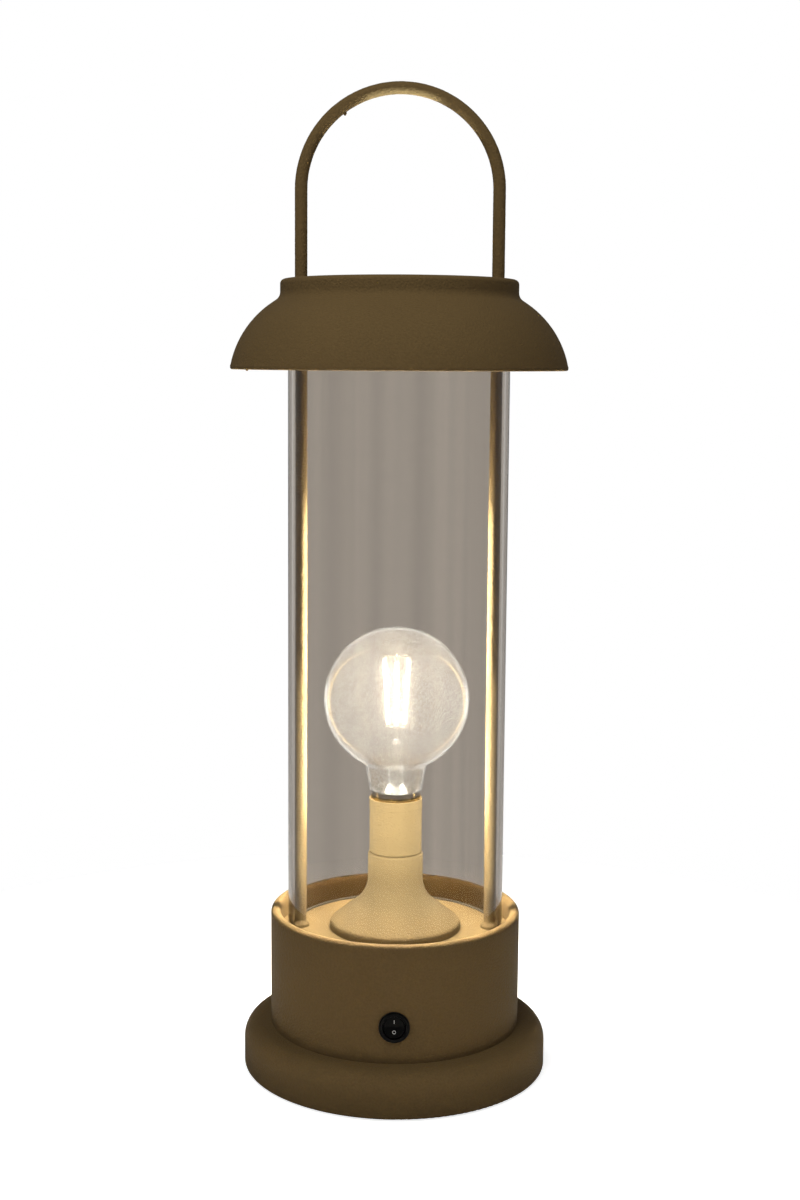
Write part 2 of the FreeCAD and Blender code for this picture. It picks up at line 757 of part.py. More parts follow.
def make_filaments():
    high_end = filament_bottom + filament_length
    hub_radius = pillar_radius + thread_clearance
    levels = ((filament_bottom - support_radius, filament_low_circle),
              (high_end + support_radius, filament_high_circle))
    spiders = [tube(pillar_radius + 3 * support_radius, hub_radius, height - support_radius,
                    height + support_radius) for height, circle in levels]
    strips = []
    for index in range(filament_count):
        angle = math.radians((index + 0.5) * 360.0 / filament_count)
        out = Vector(math.cos(angle), math.sin(angle), 0)
        low = out * filament_low_circle + Vector(0, 0, filament_bottom)
        high = out * filament_high_circle + Vector(0, 0, high_end)
        strip = Part.makeCylinder(filament_radius, (high - low).Length, low, high - low)
        for level, (height, circle) in enumerate(levels):
            spoke = Part.makeCylinder(support_radius, circle + filament_radius / 2 - hub_radius,
                                      out * hub_radius + Vector(0, 0, height), out)
            strip = strip.cut(spoke)
            spiders[level] = spiders[level].fuse(spoke)
        strips.append(strip)
    add("filaments", *strips)
    add("filament_supports", *spiders)


# ---------------------------------------------------------------- switch

def make_switch():
    """The switch is built along +Z, its bezel's back face at z = 0, and then faces the front."""
    body = turned([(0, -switch_body_length), (switch_body_radius, -switch_body_length),
                   (switch_body_radius, 0), (bezel_radius, 0),
                   (bezel_radius, bezel_thickness, bezel_round),
                   (switch_cavity_radius, bezel_thickness, bezel_round / 2),
                   (switch_cavity_radius, -switch_cavity_depth), (0, -switch_cavity_depth)])
    ear_reach = switch_body_radius + ear_height
    wall_back = -math.sqrt(drum_inner_radius ** 2 - ear_reach ** 2) - switch_facet + hole_clearance
    for side in (1, -1):
        ear = Part.makeBox(ear_height, ear_width, ear_length,
                           Vector(0, -ear_width / 2, -wall_back - ear_length))
        slope = Part.makeBox(3 * ear_height, ear_width, 2 * ear_length,
                             Vector(0, -ear_width / 2, -wall_back - ear_length))
        slope.rotate(Vector(0, 0, -wall_back - ear_length), Vector(0, 1, 0),
                     math.degrees(math.atan2(ear_height, ear_length)))
        ear = ear.common(slope)
        overlap = ear_height / 3
        ear.translate(Vector(switch_body_radius - overlap, 0, 0))
        if side < 0:
            ear.rotate(Vector(0, 0, 0), Vector(0, 0, 1), 180)
        body = body.fuse(ear)
    hole_reach = rocker_radius + pivot_reach + pivot_clearance
    pivot_hole = Part.makeCylinder(pivot_radius + pivot_clearance, 2 * hole_reach,
                                   Vector(-hole_reach, 0, -rocker_axis_depth), Vector(1, 0, 0))
    body = body.cut(pivot_hole)
    blades = []
    for side in (1, -1):
        blade = Part.makeBox(terminal_thickness, terminal_width, terminal_length + terminal_length / 2,
                             Vector(side * terminal_spacing / 2 - terminal_thickness / 2,
                                    -terminal_width / 2, -switch_body_length - terminal_length))
        body = body.cut(blade)
        blades.append(blade)
    add("switch_housing", facing(body, switch_height, switch_facet, True))
    add("switch_terminals", *[facing(blade, switch_height, switch_facet, True) for blade in blades])

    slant = math.radians(rocker_half_angle)
    rise = rocker_radius * math.tan(slant)
    profile = Part.makePolygon([
        Vector(0, -rocker_radius, -rocker_back), Vector(0, rocker_radius, -rocker_back),
        Vector(0, rocker_radius, rocker_middle + rise), Vector(0, 0, rocker_middle),
        Vector(0, -rocker_radius, rocker_middle + rise), Vector(0, -rocker_radius, -rocker_back)])
    wedge = Part.Face(profile).extrude(Vector(2 * rocker_radius, 0, 0))
    wedge.translate(Vector(-rocker_radius, 0, 0))
    disc = Part.makeCylinder(rocker_radius, rocker_back + rocker_middle + rise,
                             Vector(0, 0, -rocker_back))
    pivot_length = rocker_radius + pivot_reach
    pivot = Part.makeCylinder(pivot_radius, 2 * pivot_length,
                              Vector(-pivot_length, 0, -rocker_axis_depth), Vector(1, 0, 0))
    rocker = disc.common(wedge).fuse(pivot).removeSplitter()
    rocker.rotate(Vector(0, 0, -rocker_axis_depth), Vector(1, 0, 0), -rocker_half_angle)
    add("switch_rocker", facing(rocker, switch_height, switch_facet, True))


# ---------------------------------------------------------------- gland, terminal block and leads

def make_gland():
    body = turned([(gland_bore_radius, -gland_body_length), (gland_body_radius, -gland_body_length),
                   (gland_body_radius, 0), (gland_flange_radius, 0),
                   (gland_flange_radius, gland_flange_thickness, gland_flange_round),
                   (gland_bore_radius, gland_flange_thickness)])
    add("cord_gland", facing(body, gland_height, gland_facet, False))
    nut_corner = gland_nut_flats / math.sqrt(3)
    nut_face = math.sqrt(drum_inner_radius ** 2 - nut_corner ** 2) - gland_facet
    nut = hex_nut(gland_nut_flats, gland_body_radius + thread_clearance,
                  nut_face - gland_nut_thickness, nut_face)
    add("gland_nut", facing(nut, gland_height, gland_facet, False))


def make_wiring():
    block_x, block_y = block_centre
    width, depth, height = block_size
    entry = foot_height + block_entry_height
    block = Part.makeBox(width, depth, height,
                         Vector(block_x - width / 2, block_y - depth / 2, foot_height))
    clamps = []
    for side in (-1, 1):
        pole = Vector(block_x + side * block_pole_spacing / 2, block_y - depth / 2, entry)
        room = Part.makeCylinder(block_clamp_radius, depth, pole, Vector(0, 1, 0))
        bore = Part.makeCylinder(block_clamp_bore, depth, pole, Vector(0, 1, 0))
        block = block.cut(room)
        clamps.append(room.cut(bore))
    screw_seat = foot_height + height
    block = block.cut(cylinder(block_screw_radius + thread_clearance, foot_height, screw_seat,
                               block_x, block_y))
    add("terminal_block", block)
    add("terminal_clamps", *clamps)
    screw = screw_up(block_screw_radius - 2 * thread_clearance, block_screw_length,
                     block_screw_head_radius, block_screw_head_height, 0)
    screw.rotate(Vector(0, 0, 0), Vector(1, 0, 0), 180)
    screw.translate(Vector(block_x, block_y, screw_seat))
    add("block_screw", screw)

    blade_tip = switch_facet + switch_body_length + terminal_length
    blade_x = terminal_spacing / 2
    neutral_x = block_x + block_pole_spacing / 2
    live_x = block_x - block_pole_spacing / 2
    block_front = block_y - depth / 2
    supply_to_switch = lead([(live_x, block_front, entry), (live_x, 0, entry),
                             (-blade_x, blade_tip / 2, switch_height),
                             (-blade_x, blade_tip, switch_height)])
    switch_to_holder = lead([(blade_x, blade_tip, switch_height),
                             (blade_x, blade_tip / 2, switch_height),
                             (lead_offset, 0, (switch_height + tube_bottom) / 2),
                             (lead_offset, 0, tongue_bottom)])
    supply_to_holder = lead([(neutral_x, block_front, entry), (neutral_x, 0, entry),
                             (-lead_offset, 0, (entry + tube_bottom) / 2 - lead_bend),
                             (-lead_offset, 0, holder_floor_top)])
    add("inner_leads", supply_to_switch, switch_to_holder, supply_to_holder)


# ---------------------------------------------------------------- write the files

make_foot()
make_drum()
make_deck()
make_hoop()
make_glass()
make_roof()
make_stand()
make_holder()
make_bulb()
make_filaments()
make_switch()
make_gland()
make_wiring()

os.makedirs("parts", exist_ok=True)
for name, solids in nodes.items():
    shape = solids[0] if len(solids) == 1 else Part.makeCompound(solids)
    shape.exportStep(os.path.join("parts", name + ".step"))
    box = shape.BoundBox
    print(f"{name:20s} solids {len(shape.Solids)} valid {shape.isValid()} "
          f"volume {shape.Volume:10.1f} z {box.ZMin:7.2f} {box.ZMax:7.2f}")
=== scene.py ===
import json
import math

import bmesh
import bpy
from bpy.props import FloatProperty, FloatVectorProperty, IntProperty, PointerProperty
from mathutils import Matrix, Vector


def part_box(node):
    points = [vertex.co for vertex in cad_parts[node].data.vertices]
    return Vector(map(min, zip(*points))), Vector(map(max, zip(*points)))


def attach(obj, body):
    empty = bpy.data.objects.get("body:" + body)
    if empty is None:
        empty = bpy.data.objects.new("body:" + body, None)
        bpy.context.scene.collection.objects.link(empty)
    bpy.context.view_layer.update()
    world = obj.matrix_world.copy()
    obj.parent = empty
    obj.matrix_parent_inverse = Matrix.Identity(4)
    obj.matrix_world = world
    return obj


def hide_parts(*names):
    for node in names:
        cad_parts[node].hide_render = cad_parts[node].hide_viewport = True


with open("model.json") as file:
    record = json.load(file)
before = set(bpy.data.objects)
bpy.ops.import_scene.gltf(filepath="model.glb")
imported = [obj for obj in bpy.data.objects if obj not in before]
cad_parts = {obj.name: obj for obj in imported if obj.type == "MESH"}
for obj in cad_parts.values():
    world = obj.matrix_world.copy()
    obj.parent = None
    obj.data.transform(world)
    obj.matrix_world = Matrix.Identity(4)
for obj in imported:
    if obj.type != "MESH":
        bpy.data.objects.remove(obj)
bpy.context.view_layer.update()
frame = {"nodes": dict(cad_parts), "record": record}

bl_info = {
    "name": "Lantern Table Lamp",
    "version": (1, 0, 0),
    "blender": (4, 5, 0),
    "location": "3D View > Sidebar > Lantern",
    "description": "Dresses the frame of a lantern table lamp and sets its stage",
    "category": "Object",
}


def half_width(node):
    low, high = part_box(node)
    return (high[0] - low[0]) / 2


def bottom_of(node):
    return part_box(node)[0][2]


def top_of(node):
    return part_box(node)[1][2]


# ---------------------------------------------------------------- what a user may change

class LanternSizes(bpy.types.PropertyGroup):
    coat_grain: FloatProperty(name="Coat grain", description="Spacing of the grains in the powder coat",
                              default=0.0014, min=0.0002, unit="LENGTH")
    coat_relief: FloatProperty(name="Coat relief", description="Height of the grains in the powder coat",
                               default=0.0008, min=0.0, unit="LENGTH")
    rod_radius: FloatProperty(name="Rod radius", description="Radius of the bent rod of the hoop",
                              default=0.004, unit="LENGTH")
    shoulder_height: FloatProperty(name="Shoulder height", description="Height of the flare at each foot",
                                   default=0.0045, unit="LENGTH")
    glass_wall: FloatProperty(name="Glass wall", description="Thickness of the glass tube",
                              default=0.003, unit="LENGTH")
    top_gap: FloatProperty(name="Top gap", description="Height that the tube lost to its melted top edge",
                           default=0.0003, unit="LENGTH")
    globe_wall: FloatProperty(name="Globe wall", description="Thickness of the bulb's globe",
                              default=0.0008, unit="LENGTH")
    neck_top: FloatProperty(name="Neck top", description="Radius where the globe turns into its neck",
                            default=0.0204, unit="LENGTH")
    neck_bottom: FloatProperty(name="Neck bottom", description="Radius of the neck above the cap",
                               default=0.0173, unit="LENGTH")
    filament_radius: FloatProperty(name="Filament radius", description="Radius of one lit strip",
                                   default=0.001, unit="LENGTH")
    filament_count: IntProperty(name="Filaments", description="Lit strips in the bulb", default=6, min=1)
    mark_height: FloatProperty(name="Mark height", description="Height of the on and off marks",
                               default=0.0023, unit="LENGTH")
    bead_radius: FloatProperty(name="Paint bead", description="Radius of a bead of paint left on an edge",
                               default=0.0011, unit="LENGTH")


class LanternColours(bpy.types.PropertyGroup):
    coat: FloatVectorProperty(name="Coat", description="Powder coat of all the metalwork", subtype="COLOR",
                              size=4, min=0, max=1, default=(0.112, 0.073, 0.03, 1))
    tube: FloatVectorProperty(name="Tube tint", description="What one wall of the glass tube lets through",
                              subtype="COLOR", size=4, min=0, max=1, default=(0.545, 0.51, 0.47, 1))
    globe: FloatVectorProperty(name="Globe", description="What the globe lets through", subtype="COLOR",
                               size=4, min=0, max=1, default=(0.97, 0.965, 0.95, 1))
    glow: FloatVectorProperty(name="Glow", description="Light of the filaments", subtype="COLOR",
                              size=4, min=0, max=1, default=(1.0, 0.95, 0.87, 1))
    lamplight: FloatVectorProperty(name="Lamplight", description="Bulb light, as the camera balances it",
                                   subtype="COLOR", size=4, min=0, max=1, default=(0.79, 0.91, 1.0, 1))
    mark: FloatVectorProperty(name="Marks", description="Printed on and off marks", subtype="COLOR",
                              size=4, min=0, max=1, default=(0.32, 0.32, 0.31, 1))
    floor: FloatVectorProperty(name="Floor", description="Floor and backdrop", subtype="COLOR",
                               size=4, min=0, max=1, default=(0.6, 0.6, 0.6, 1))


class LanternLight(bpy.types.PropertyGroup):
    filament: FloatProperty(name="Filament strength", description="Brightness of the lit strips",
                            default=6000.0, min=0.0)
    bulb: FloatProperty(name="Bulb power", description="Light of the strips, from the heart of the globe",
                        default=3.0, min=0.0, unit="POWER")
    crown: FloatProperty(name="Crown power", description="Light that leaves by the vent of the roof",
                         default=24.0, min=0.0, unit="POWER")
    returned: FloatProperty(name="Returned power", description="Bulb light that the tube throws back",
                            default=2.9, min=0.0, unit="POWER")
    rods: FloatProperty(name="Rod power", description="Bulb light on the posts of the hoop, each side",
                        default=2.3, min=0.0, unit="POWER")
    key: FloatProperty(name="Key power", description="Soft lamp, high in front",
                       default=8.0, min=0.0, unit="POWER")
    fill: FloatProperty(name="Fill power", description="Soft lamp, high on the right", default=2.3,
                        min=0.0, unit="POWER")
    sky: FloatProperty(name="Sky strength", description="Even light from all round", default=0.13, min=0.0)


def sizes():
    return bpy.context.scene.lantern_sizes


def colours():
    return bpy.context.scene.lantern_colours


def lights():
    return bpy.context.scene.lantern_light


# ---------------------------------------------------------------- node helpers

WHITE = (1.0, 1.0, 1.0, 1.0)
# Most values of a noise texture lie between these two.
NOISE_LOW, NOISE_HIGH = 0.3, 0.7
# Sockets of a mix node that is set to colours.
MIX_SHARE, MIX_FIRST, MIX_SECOND, MIX_RESULT = 0, 6, 7, 2


class Wiring:
    """Adds nodes to a tree and joins them up."""

    def __init__(self, tree):
        self.tree = tree

    def join(self, value, socket):
        """Lead a socket, or set a plain value, into a socket."""
        if isinstance(value, bpy.types.NodeSocket):
            self.tree.links.new(value, socket)
        else:
            socket.default_value = value

    def node(self, kind, sockets=None, **settings):
        node = self.tree.nodes.new(kind)
        for name, value in settings.items():
            setattr(node, name, value)
        for name, value in (sockets or {}).items():
            self.join(value, node.inputs[name])
        return node

    def math(self, operation, *values):
        return self.node("ShaderNodeMath", dict(enumerate(values)), operation=operation).outputs[0]

    def mixed_shader(self, share, first, second):
        return self.node("ShaderNodeMixShader", {"Fac": share, 1: first, 2: second}).outputs[0]


class Finish(Wiring):
    """A material under construction: one Principled shader and the nodes that feed it."""

    def __init__(self, name):
        self.material = bpy.data.materials.new(name + "_finish")
        self.material.use_nodes = True
        super().__init__(self.material.node_tree)
        self.shader = self.tree.nodes["Principled BSDF"]
        self.surface = self.tree.nodes["Material Output"].inputs["Surface"]
        self.place = self.node("ShaderNodeTexCoord").outputs["Object"]

    def set(self, **values):
        for name, value in values.items():
            self.shader.inputs[name.replace("_", " ")].default_value = value
        return self

    def feed(self, name, socket):
        self.join(socket, self.shader.inputs[name])
        return self

    def stretched(self, scale):
        return self.node("ShaderNodeMapping", {"Vector": self.place, "Scale": scale}).outputs["Vector"]

    def noise(self, scale, detail=2.0, roughness=0.5, place=None):
        return self.node("ShaderNodeTexNoise", {"Vector": place or self.place, "Scale": scale,
                                                "Detail": detail, "Roughness": roughness}).outputs["Fac"]

    def cells(self, scale):
        return self.node("ShaderNodeTexVoronoi", {"Vector": self.place, "Scale": scale}).outputs["Distance"]

    def ranged(self, value, low=NOISE_LOW, high=NOISE_HIGH, to_low=0.0, to_high=1.0):
        return self.node("ShaderNodeMapRange", {"Value": value, "From Min": low, "From Max": high,
                                                "To Min": to_low, "To Max": to_high}).outputs["Result"]

    def blended(self, share, first, second, mode="MIX"):
        node = self.node("ShaderNodeMix", {MIX_SHARE: share, MIX_FIRST: first, MIX_SECOND: second},
                         data_type="RGBA", blend_type=mode)
        return node.outputs[MIX_RESULT]

    def shades(self, value, colour, low, high):
        """Two shades of a colour, blended by a noise value."""
        return self.blended(self.ranged(value), shaded(colour, low), shaded(colour, high))

    def facing(self):
        """0 where a surface faces the eye, 1 where it is seen edge-on."""
        return self.node("ShaderNodeLayerWeight").outputs["Facing"]

    def from_axis(self):
        """Distance from the Z axis."""
        level = self.stretched((1.0, 1.0, 0.0))
        return self.node("ShaderNodeVectorMath", {0: level}, operation="LENGTH").outputs["Value"]

    def relief(self, heights):
        """Bumps stacked from (height socket, depth in metres) pairs."""
        below = None
        for height, depth in heights:
            bump = self.node("ShaderNodeBump", {"Height": height, "Strength": 1.0, "Distance": depth})
            if below:
                self.join(below, bump.inputs["Normal"])
            below = bump.outputs["Normal"]
        return self.feed("Normal", below)

    def lets_lamplight_through(self, tint):
        """Light on its way to a lamp passes straight through the glass, tinted."""
        on_its_way = self.node("ShaderNodeLightPath").outputs["Is Shadow Ray"]
        clear = self.node("ShaderNodeBsdfTransparent", {"Color": tint}).outputs["BSDF"]
        self.join(self.mixed_shader(on_its_way, self.shader.outputs["BSDF"], clear), self.surface)
        return self


def shaded(colour, factor):
    return [min(1.0, channel * factor) for channel in colour[:3]] + [1.0]


def root_of(colour):
    """The share of light that a shadow ray keeps at each of the two sides of a wall."""
    return [math.sqrt(channel) for channel in colour[:3]] + [1.0]


# ---------------------------------------------------------------- finishes

def powder_coat():
    """Sand-textured powder coat: fine grains, shallow waves and a slightly uneven tone."""
    coat = list(colours().coat)
    relief = sizes().coat_relief
    finish = Finish("powder_coat").set(Specular_IOR_Level=0.04)
    grains = finish.noise(1 / sizes().coat_grain, detail=3.0, roughness=0.6)
    speckle = finish.blended(finish.ranged(grains, 0.35, 0.65), shaded(coat, 0.86), shaded(coat, 1.1))
    patch = finish.shades(finish.noise(14.0, detail=3.0), coat, 0.93, 1.07)
    finish.feed("Base Color", finish.blended(0.5, speckle, patch))
    finish.feed("Roughness", finish.ranged(grains, to_low=0.5, to_high=0.72))
    return finish.relief([(finish.noise(60.0), relief * 0.5), (grains, relief)])


def tube_glass():
    """Drawn glass tube with a smoke tint, and painted shade that deepens it where the wall's outer side is
    seen at a graze.

    Faint draw lines run along it, and a film of dust lies on it."""
    tint = list(colours().tube)
    finish = Finish("tinted_glass").set(Transmission_Weight=1.0, IOR=1.1, Specular_IOR_Level=0.9)
    along = finish.stretched((1.0, 1.0, 0.006))
    bands = finish.noise(48.0, detail=3.0, roughness=0.6, place=along)
    body = finish.shades(bands, tint, 0.9, 1.1)
    wall = sizes().glass_wall
    inside = half_width("glass_tube") - wall
    outer = finish.ranged(finish.from_axis(), inside + wall * 0.4, inside + wall * 0.6)
    # Painted shade: the tint deepens where the wall's outer side is seen edge-on, darkening the tube's
    # edges.
    edge_shade_mask = finish.ranged(finish.facing(), 0.71, 0.75)
    edge = finish.blended(finish.math("MULTIPLY", outer, edge_shade_mask), WHITE, shaded(tint, 0.6))
    finish.feed("Base Color", finish.blended(1.0, body, edge, "MULTIPLY"))
    dust = finish.noise(420.0, detail=4.0, roughness=0.7)
    finish.feed("Roughness", finish.ranged(dust, 0.66, 0.8, 0.015, 0.2))
    finish.relief([(finish.noise(160.0, place=along), 0.00002)])
    return finish.lets_lamplight_through(root_of(tint))


def globe_glass():
    """Clear blown glass with fine dust and a few larger specks, and a painted sheen that whitens it where it
    is seen edge-on.
    """
    clear = list(colours().globe)
    finish = Finish("bulb_glass").set(Base_Color=clear, IOR=1.5)
    specks = finish.ranged(finish.cells(620.0), 0.05, 0.12, 1.0, 0.0)
    sparse = finish.ranged(finish.noise(75.0), 0.52, 0.62)
    clean = finish.ranged(finish.math("MULTIPLY", specks, sparse), 0.0, 1.0, 0.9985, 0.7)
    # Painted sheen: less light passes where the globe is seen edge-on, so its outline turns whiter.
    rim = finish.ranged(finish.facing(), 0.7, 1.0, 0.0, 0.08)
    finish.feed("Transmission Weight", finish.math("SUBTRACT", clean, rim))
    finish.feed("Roughness", finish.ranged(finish.noise(3200.0), 0.57, 0.64, 0.04, 0.45))
    finish.relief([(finish.noise(24.0), 0.00003)])
    return finish.lets_lamplight_through(root_of(clear))


def lit_phosphor():
    """Yellow phosphor over a row of small diodes, all lit."""
    glow = list(colours().glow)
    finish = Finish("filament_phosphor").set(Base_Color=(1.0, 0.72, 0.3, 1.0), Roughness=0.6,
                                             Emission_Strength=lights().filament)
    dots = finish.ranged(finish.cells(700.0), 0.0, 0.6)
    finish.feed("Emission Color", finish.blended(dots, glow, shaded(glow, 0.8)))
    return finish.relief([(finish.noise(900.0), 0.00005)])


def sleeved_lead():
    """Woven sleeve of an inner lead."""
    finish = Finish("lead_sleeve").set(Specular_IOR_Level=0.3)
    weave = finish.cells(2600.0)
    finish.feed("Base Color", finish.blended(finish.ranged(weave, 0.1, 0.7),
                                             (0.33, 0.17, 0.09, 1.0), (0.16, 0.075, 0.04, 1.0)))
    finish.feed("Roughness", finish.ranged(weave, 0.1, 0.7, 0.6, 0.85))
    return finish.relief([(weave, 0.00008)])


def silicone():
    """Silicone of a dark smoke tone that lets a little light in."""
    finish = Finish("clear_silicone").set(Subsurface_Weight=0.3, Subsurface_Radius=(0.002, 0.002, 0.0015),
                                          Specular_IOR_Level=0.1)
    cloud = finish.noise(200.0, detail=3.0)
    finish.feed("Base Color", finish.blended(cloud, (0.035, 0.029, 0.02, 1.0), (0.05, 0.042, 0.03, 1.0)))
    finish.feed("Roughness", finish.ranged(cloud, to_low=0.6, to_high=0.75))
    return finish.relief([(finish.noise(700.0), 0.00003)])


def switch_print():
    """The printed marks of the switch."""
    return moulded("switch_print", list(colours().mark), 0.6, grain=2500.0, depth=0.00001, spread=0.06)


def plated(name, colour, roughness, lines=(1.0, 1.0, 0.02)):
    """Plated or drawn metal with fine lines, slightly clouded."""
    finish = Finish(name).set(Metallic=1.0)
    cloud = finish.noise(90.0, detail=3.0)
    finish.feed("Base Color", finish.shades(cloud, colour, 0.85, 1.05))
    finish.feed("Roughness", finish.ranged(cloud, to_low=roughness * 0.75, to_high=roughness * 1.35))
    return finish.relief([(finish.noise(900.0, place=finish.stretched(lines)), 0.00001)])


def moulded(name, colour, roughness, grain=1600.0, depth=0.00002, spread=0.12, sheen=0.45):
    """Moulded, painted or glazed material: an even colour with the fine texture of its making."""
    finish = Finish(name).set(Specular_IOR_Level=sheen)
    grains = finish.noise(grain, roughness=0.6)
    finish.feed("Base Color", finish.shades(finish.noise(110.0), colour, 1 - spread, 1 + spread))
    finish.feed("Roughness", finish.ranged(grains, to_low=roughness * 0.85, to_high=roughness * 1.15))
    return finish.relief([(grains, depth)])


PLATED = {
    "steel_hardware": dict(colour=(0.6, 0.6, 0.58), roughness=0.3),
    "holder_brass": dict(colour=(0.78, 0.55, 0.2), roughness=0.22),
    "cap_metal": dict(colour=(0.5, 0.46, 0.4), roughness=0.2, lines=(0.02, 0.02, 1.0)),
    "support_wire": dict(colour=(0.62, 0.61, 0.58), roughness=0.25),
}
MOULDED = {
    "cast_iron_weight": dict(colour=(0.045, 0.043, 0.04), roughness=0.7, grain=500.0, depth=0.0003,
                             spread=0.25),
    "steel_plate": dict(colour=(0.03, 0.03, 0.03), roughness=0.45, grain=900.0, depth=0.00004),
    "rubber_pad": dict(colour=(0.022, 0.022, 0.022), roughness=0.8, grain=900.0, depth=0.00006),
    "nylon": dict(colour=(0.11, 0.085, 0.05), roughness=0.5),
    "holder_ceramic": dict(colour=(0.8, 0.79, 0.75), roughness=0.18, grain=300.0, depth=0.00003,
                           spread=0.03),
    "black_insulator": dict(colour=(0.015, 0.015, 0.015), roughness=0.12, grain=400.0, depth=0.00003),
    "driver_resin": dict(colour=(0.72, 0.71, 0.67), roughness=0.5, grain=700.0, depth=0.00006,
                         spread=0.05),
    "black_plastic": dict(colour=(0.002, 0.002, 0.002), roughness=0.42, grain=2200.0, sheen=0.06),
}
SPECIAL = {
    "powder_coat": powder_coat, "clear_silicone": silicone, "tinted_glass": tube_glass,
    "bulb_glass": globe_glass, "filament_phosphor": lit_phosphor, "lead_sleeve": sleeved_lead,
    "switch_print": switch_print,
}


def finish_of(slot):
    """The material of a slot, made when it is first asked for."""
    made = bpy.data.materials.get(slot + "_finish")
    if made:
        return made
    if slot in PLATED:
        return plated(slot, **PLATED[slot]).material
    if slot in MOULDED:
        return moulded(slot, **MOULDED[slot]).material
    return SPECIAL[slot]().material


# ---------------------------------------------------------------- mesh helpers

def linked(name, mesh):
    piece = bpy.data.objects.new(name, mesh)
    bpy.context.scene.collection.objects.link(piece)
    return piece


def mesh_from(name, build):
    """A mesh filled by build(bm), its doubles merged and its faces turned outwards."""
    bm = bmesh.new()
    build(bm)
    bmesh.ops.remove_doubles(bm, verts=bm.verts, dist=1e-7)
    bmesh.ops.recalc_face_normals(bm, faces=bm.faces)
    mesh = bpy.data.meshes.new(name)
    bm.to_mesh(mesh)
    bm.free()
    return mesh


def smoothed(mesh, degrees=30.0):
    mesh.shade_smooth()
    mesh.set_sharp_from_angle(angle=math.radians(degrees))
    return mesh


ROUNDING_STEPS = 10


def section(corners):
    """Points of a closed outline through corners (radius, height, rounding)."""
    points = []
    count = len(corners)
    for index, corner in enumerate(corners):
        here = Vector(corner[:2])
        rounding = corner[2] if len(corner) > 2 else 0.0
        if rounding <= 0.0:
            points.append(here)
            continue
        back = (Vector(corners[index - 1][:2]) - here).normalized()
        ahead = (Vector(corners[(index + 1) % count][:2]) - here).normalized()
        half = back.angle(ahead) / 2
        centre = here + (back + ahead).normalized() * rounding / math.sin(half)
        start = here + back * rounding / math.tan(half) - centre
        turn = math.pi - 2 * half
        if start.x * ahead.y - start.y * ahead.x < 0:
            turn = -turn
        for step in range(ROUNDING_STEPS + 1):
            points.append(centre + Matrix.Rotation(turn * step / ROUNDING_STEPS, 2) @ start)
    return points


def finished(piece, body, slot, *nodes):
    """Attach a piece to the body it rides on and hide the nodes it stands for; its slot is not used."""
    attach(piece, body)
    if nodes:
        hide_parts(*nodes)
    return piece


def built(name, build, degrees, body, slot, *nodes, finish=None):
    """A declared piece whose mesh is filled by build(bm), in the finish of its slot or another one."""
    piece = linked(name, smoothed(mesh_from(name, build), degrees))
    piece.data.materials.append(finish_of(finish or slot))
    return finished(piece, body, slot, *nodes)


def ring_of(radius, count):
    """Points (x, y) spaced evenly round a circle."""
    return [(radius * math.cos(math.tau * k / count), radius * math.sin(math.tau * k / count))
            for k in range(count)]


def skin(bm, loops):
    """Faces from each loop of vertices to the next."""
    for first, second in zip(loops, loops[1:]):
        for k in range(len(first)):
            after = (k + 1) % len(first)
            bm.faces.new((first[k], first[after], second[after], second[k]))


# ---------------------------------------------------------------- geometry node trees

class Growth(Wiring):
    """A geometry tree under construction. It takes geometry, its own inputs and a material."""

    def __init__(self, name, inputs):
        super().__init__(bpy.data.node_groups.new(name, "GeometryNodeTree"))
        sockets = self.tree.interface
        for label, kind in [("Geometry", "Geometry")] + inputs + [("Material", "Material")]:
            sockets.new_socket(label, in_out="INPUT", socket_type="NodeSocket" + kind)
        sockets.new_socket("Geometry", in_out="OUTPUT", socket_type="NodeSocketGeometry")
        self.given = self.node("NodeGroupInput").outputs

    def vector(self, x, y, z):
        return self.node("ShaderNodeCombineXYZ", {"X": x, "Y": y, "Z": z}).outputs[0]

    def finish(self, geometry):
        """End in Realize Instances and Set Material, as the export needs."""
        real = self.node("GeometryNodeRealizeInstances", {"Geometry": geometry}).outputs[0]
        painted = self.node("GeometryNodeSetMaterial",
                            {"Geometry": real, "Material": self.given["Material"]})
        self.node("NodeGroupOutput", {0: painted.outputs[0]})
        return self.tree


def turned_tree():
    """Turns the closed outline it is given, an edge mesh in the XZ plane, about the Z axis."""
    w = Growth("Turned Piece", [("Sides", "Int")])
    outline = w.given["Geometry"]
    size = w.node("GeometryNodeAttributeDomainSize", {"Geometry": outline}).outputs["Point Count"]
    rows = w.math("ADD", size, 1.0)
    columns = w.math("ADD", w.given["Sides"], 1.0)
    grid = w.node("GeometryNodeMeshGrid", {"Vertices X": rows, "Vertices Y": columns})
    index = w.node("GeometryNodeInputIndex").outputs[0]
    row = w.math("FLOOR", w.math("DIVIDE", w.math("ADD", index, 0.5), columns))
    column = w.math("SUBTRACT", index, w.math("MULTIPLY", row, columns))
    angle = w.math("MULTIPLY", w.math("DIVIDE", column, w.given["Sides"]), math.tau)
    place = w.node("GeometryNodeInputPosition").outputs[0]
    sample = w.node("GeometryNodeSampleIndex", {"Geometry": outline}, data_type="FLOAT_VECTOR")
    w.join(place, sample.inputs["Value"])
    w.join(w.math("MODULO", row, size), sample.inputs["Index"])
    parts = w.node("ShaderNodeSeparateXYZ", {"Vector": sample.outputs["Value"]}).outputs
    turned = w.vector(w.math("MULTIPLY", parts["X"], w.math("COSINE", angle)),
                      w.math("MULTIPLY", parts["X"], w.math("SINE", angle)), parts["Z"])
    moved = w.node("GeometryNodeSetPosition", {"Geometry": grid.outputs["Mesh"], "Position": turned})
    merged = w.node("GeometryNodeMergeByDistance", {"Geometry": moved.outputs[0], "Distance": 1e-7})
    return w.finish(merged.outputs[0])


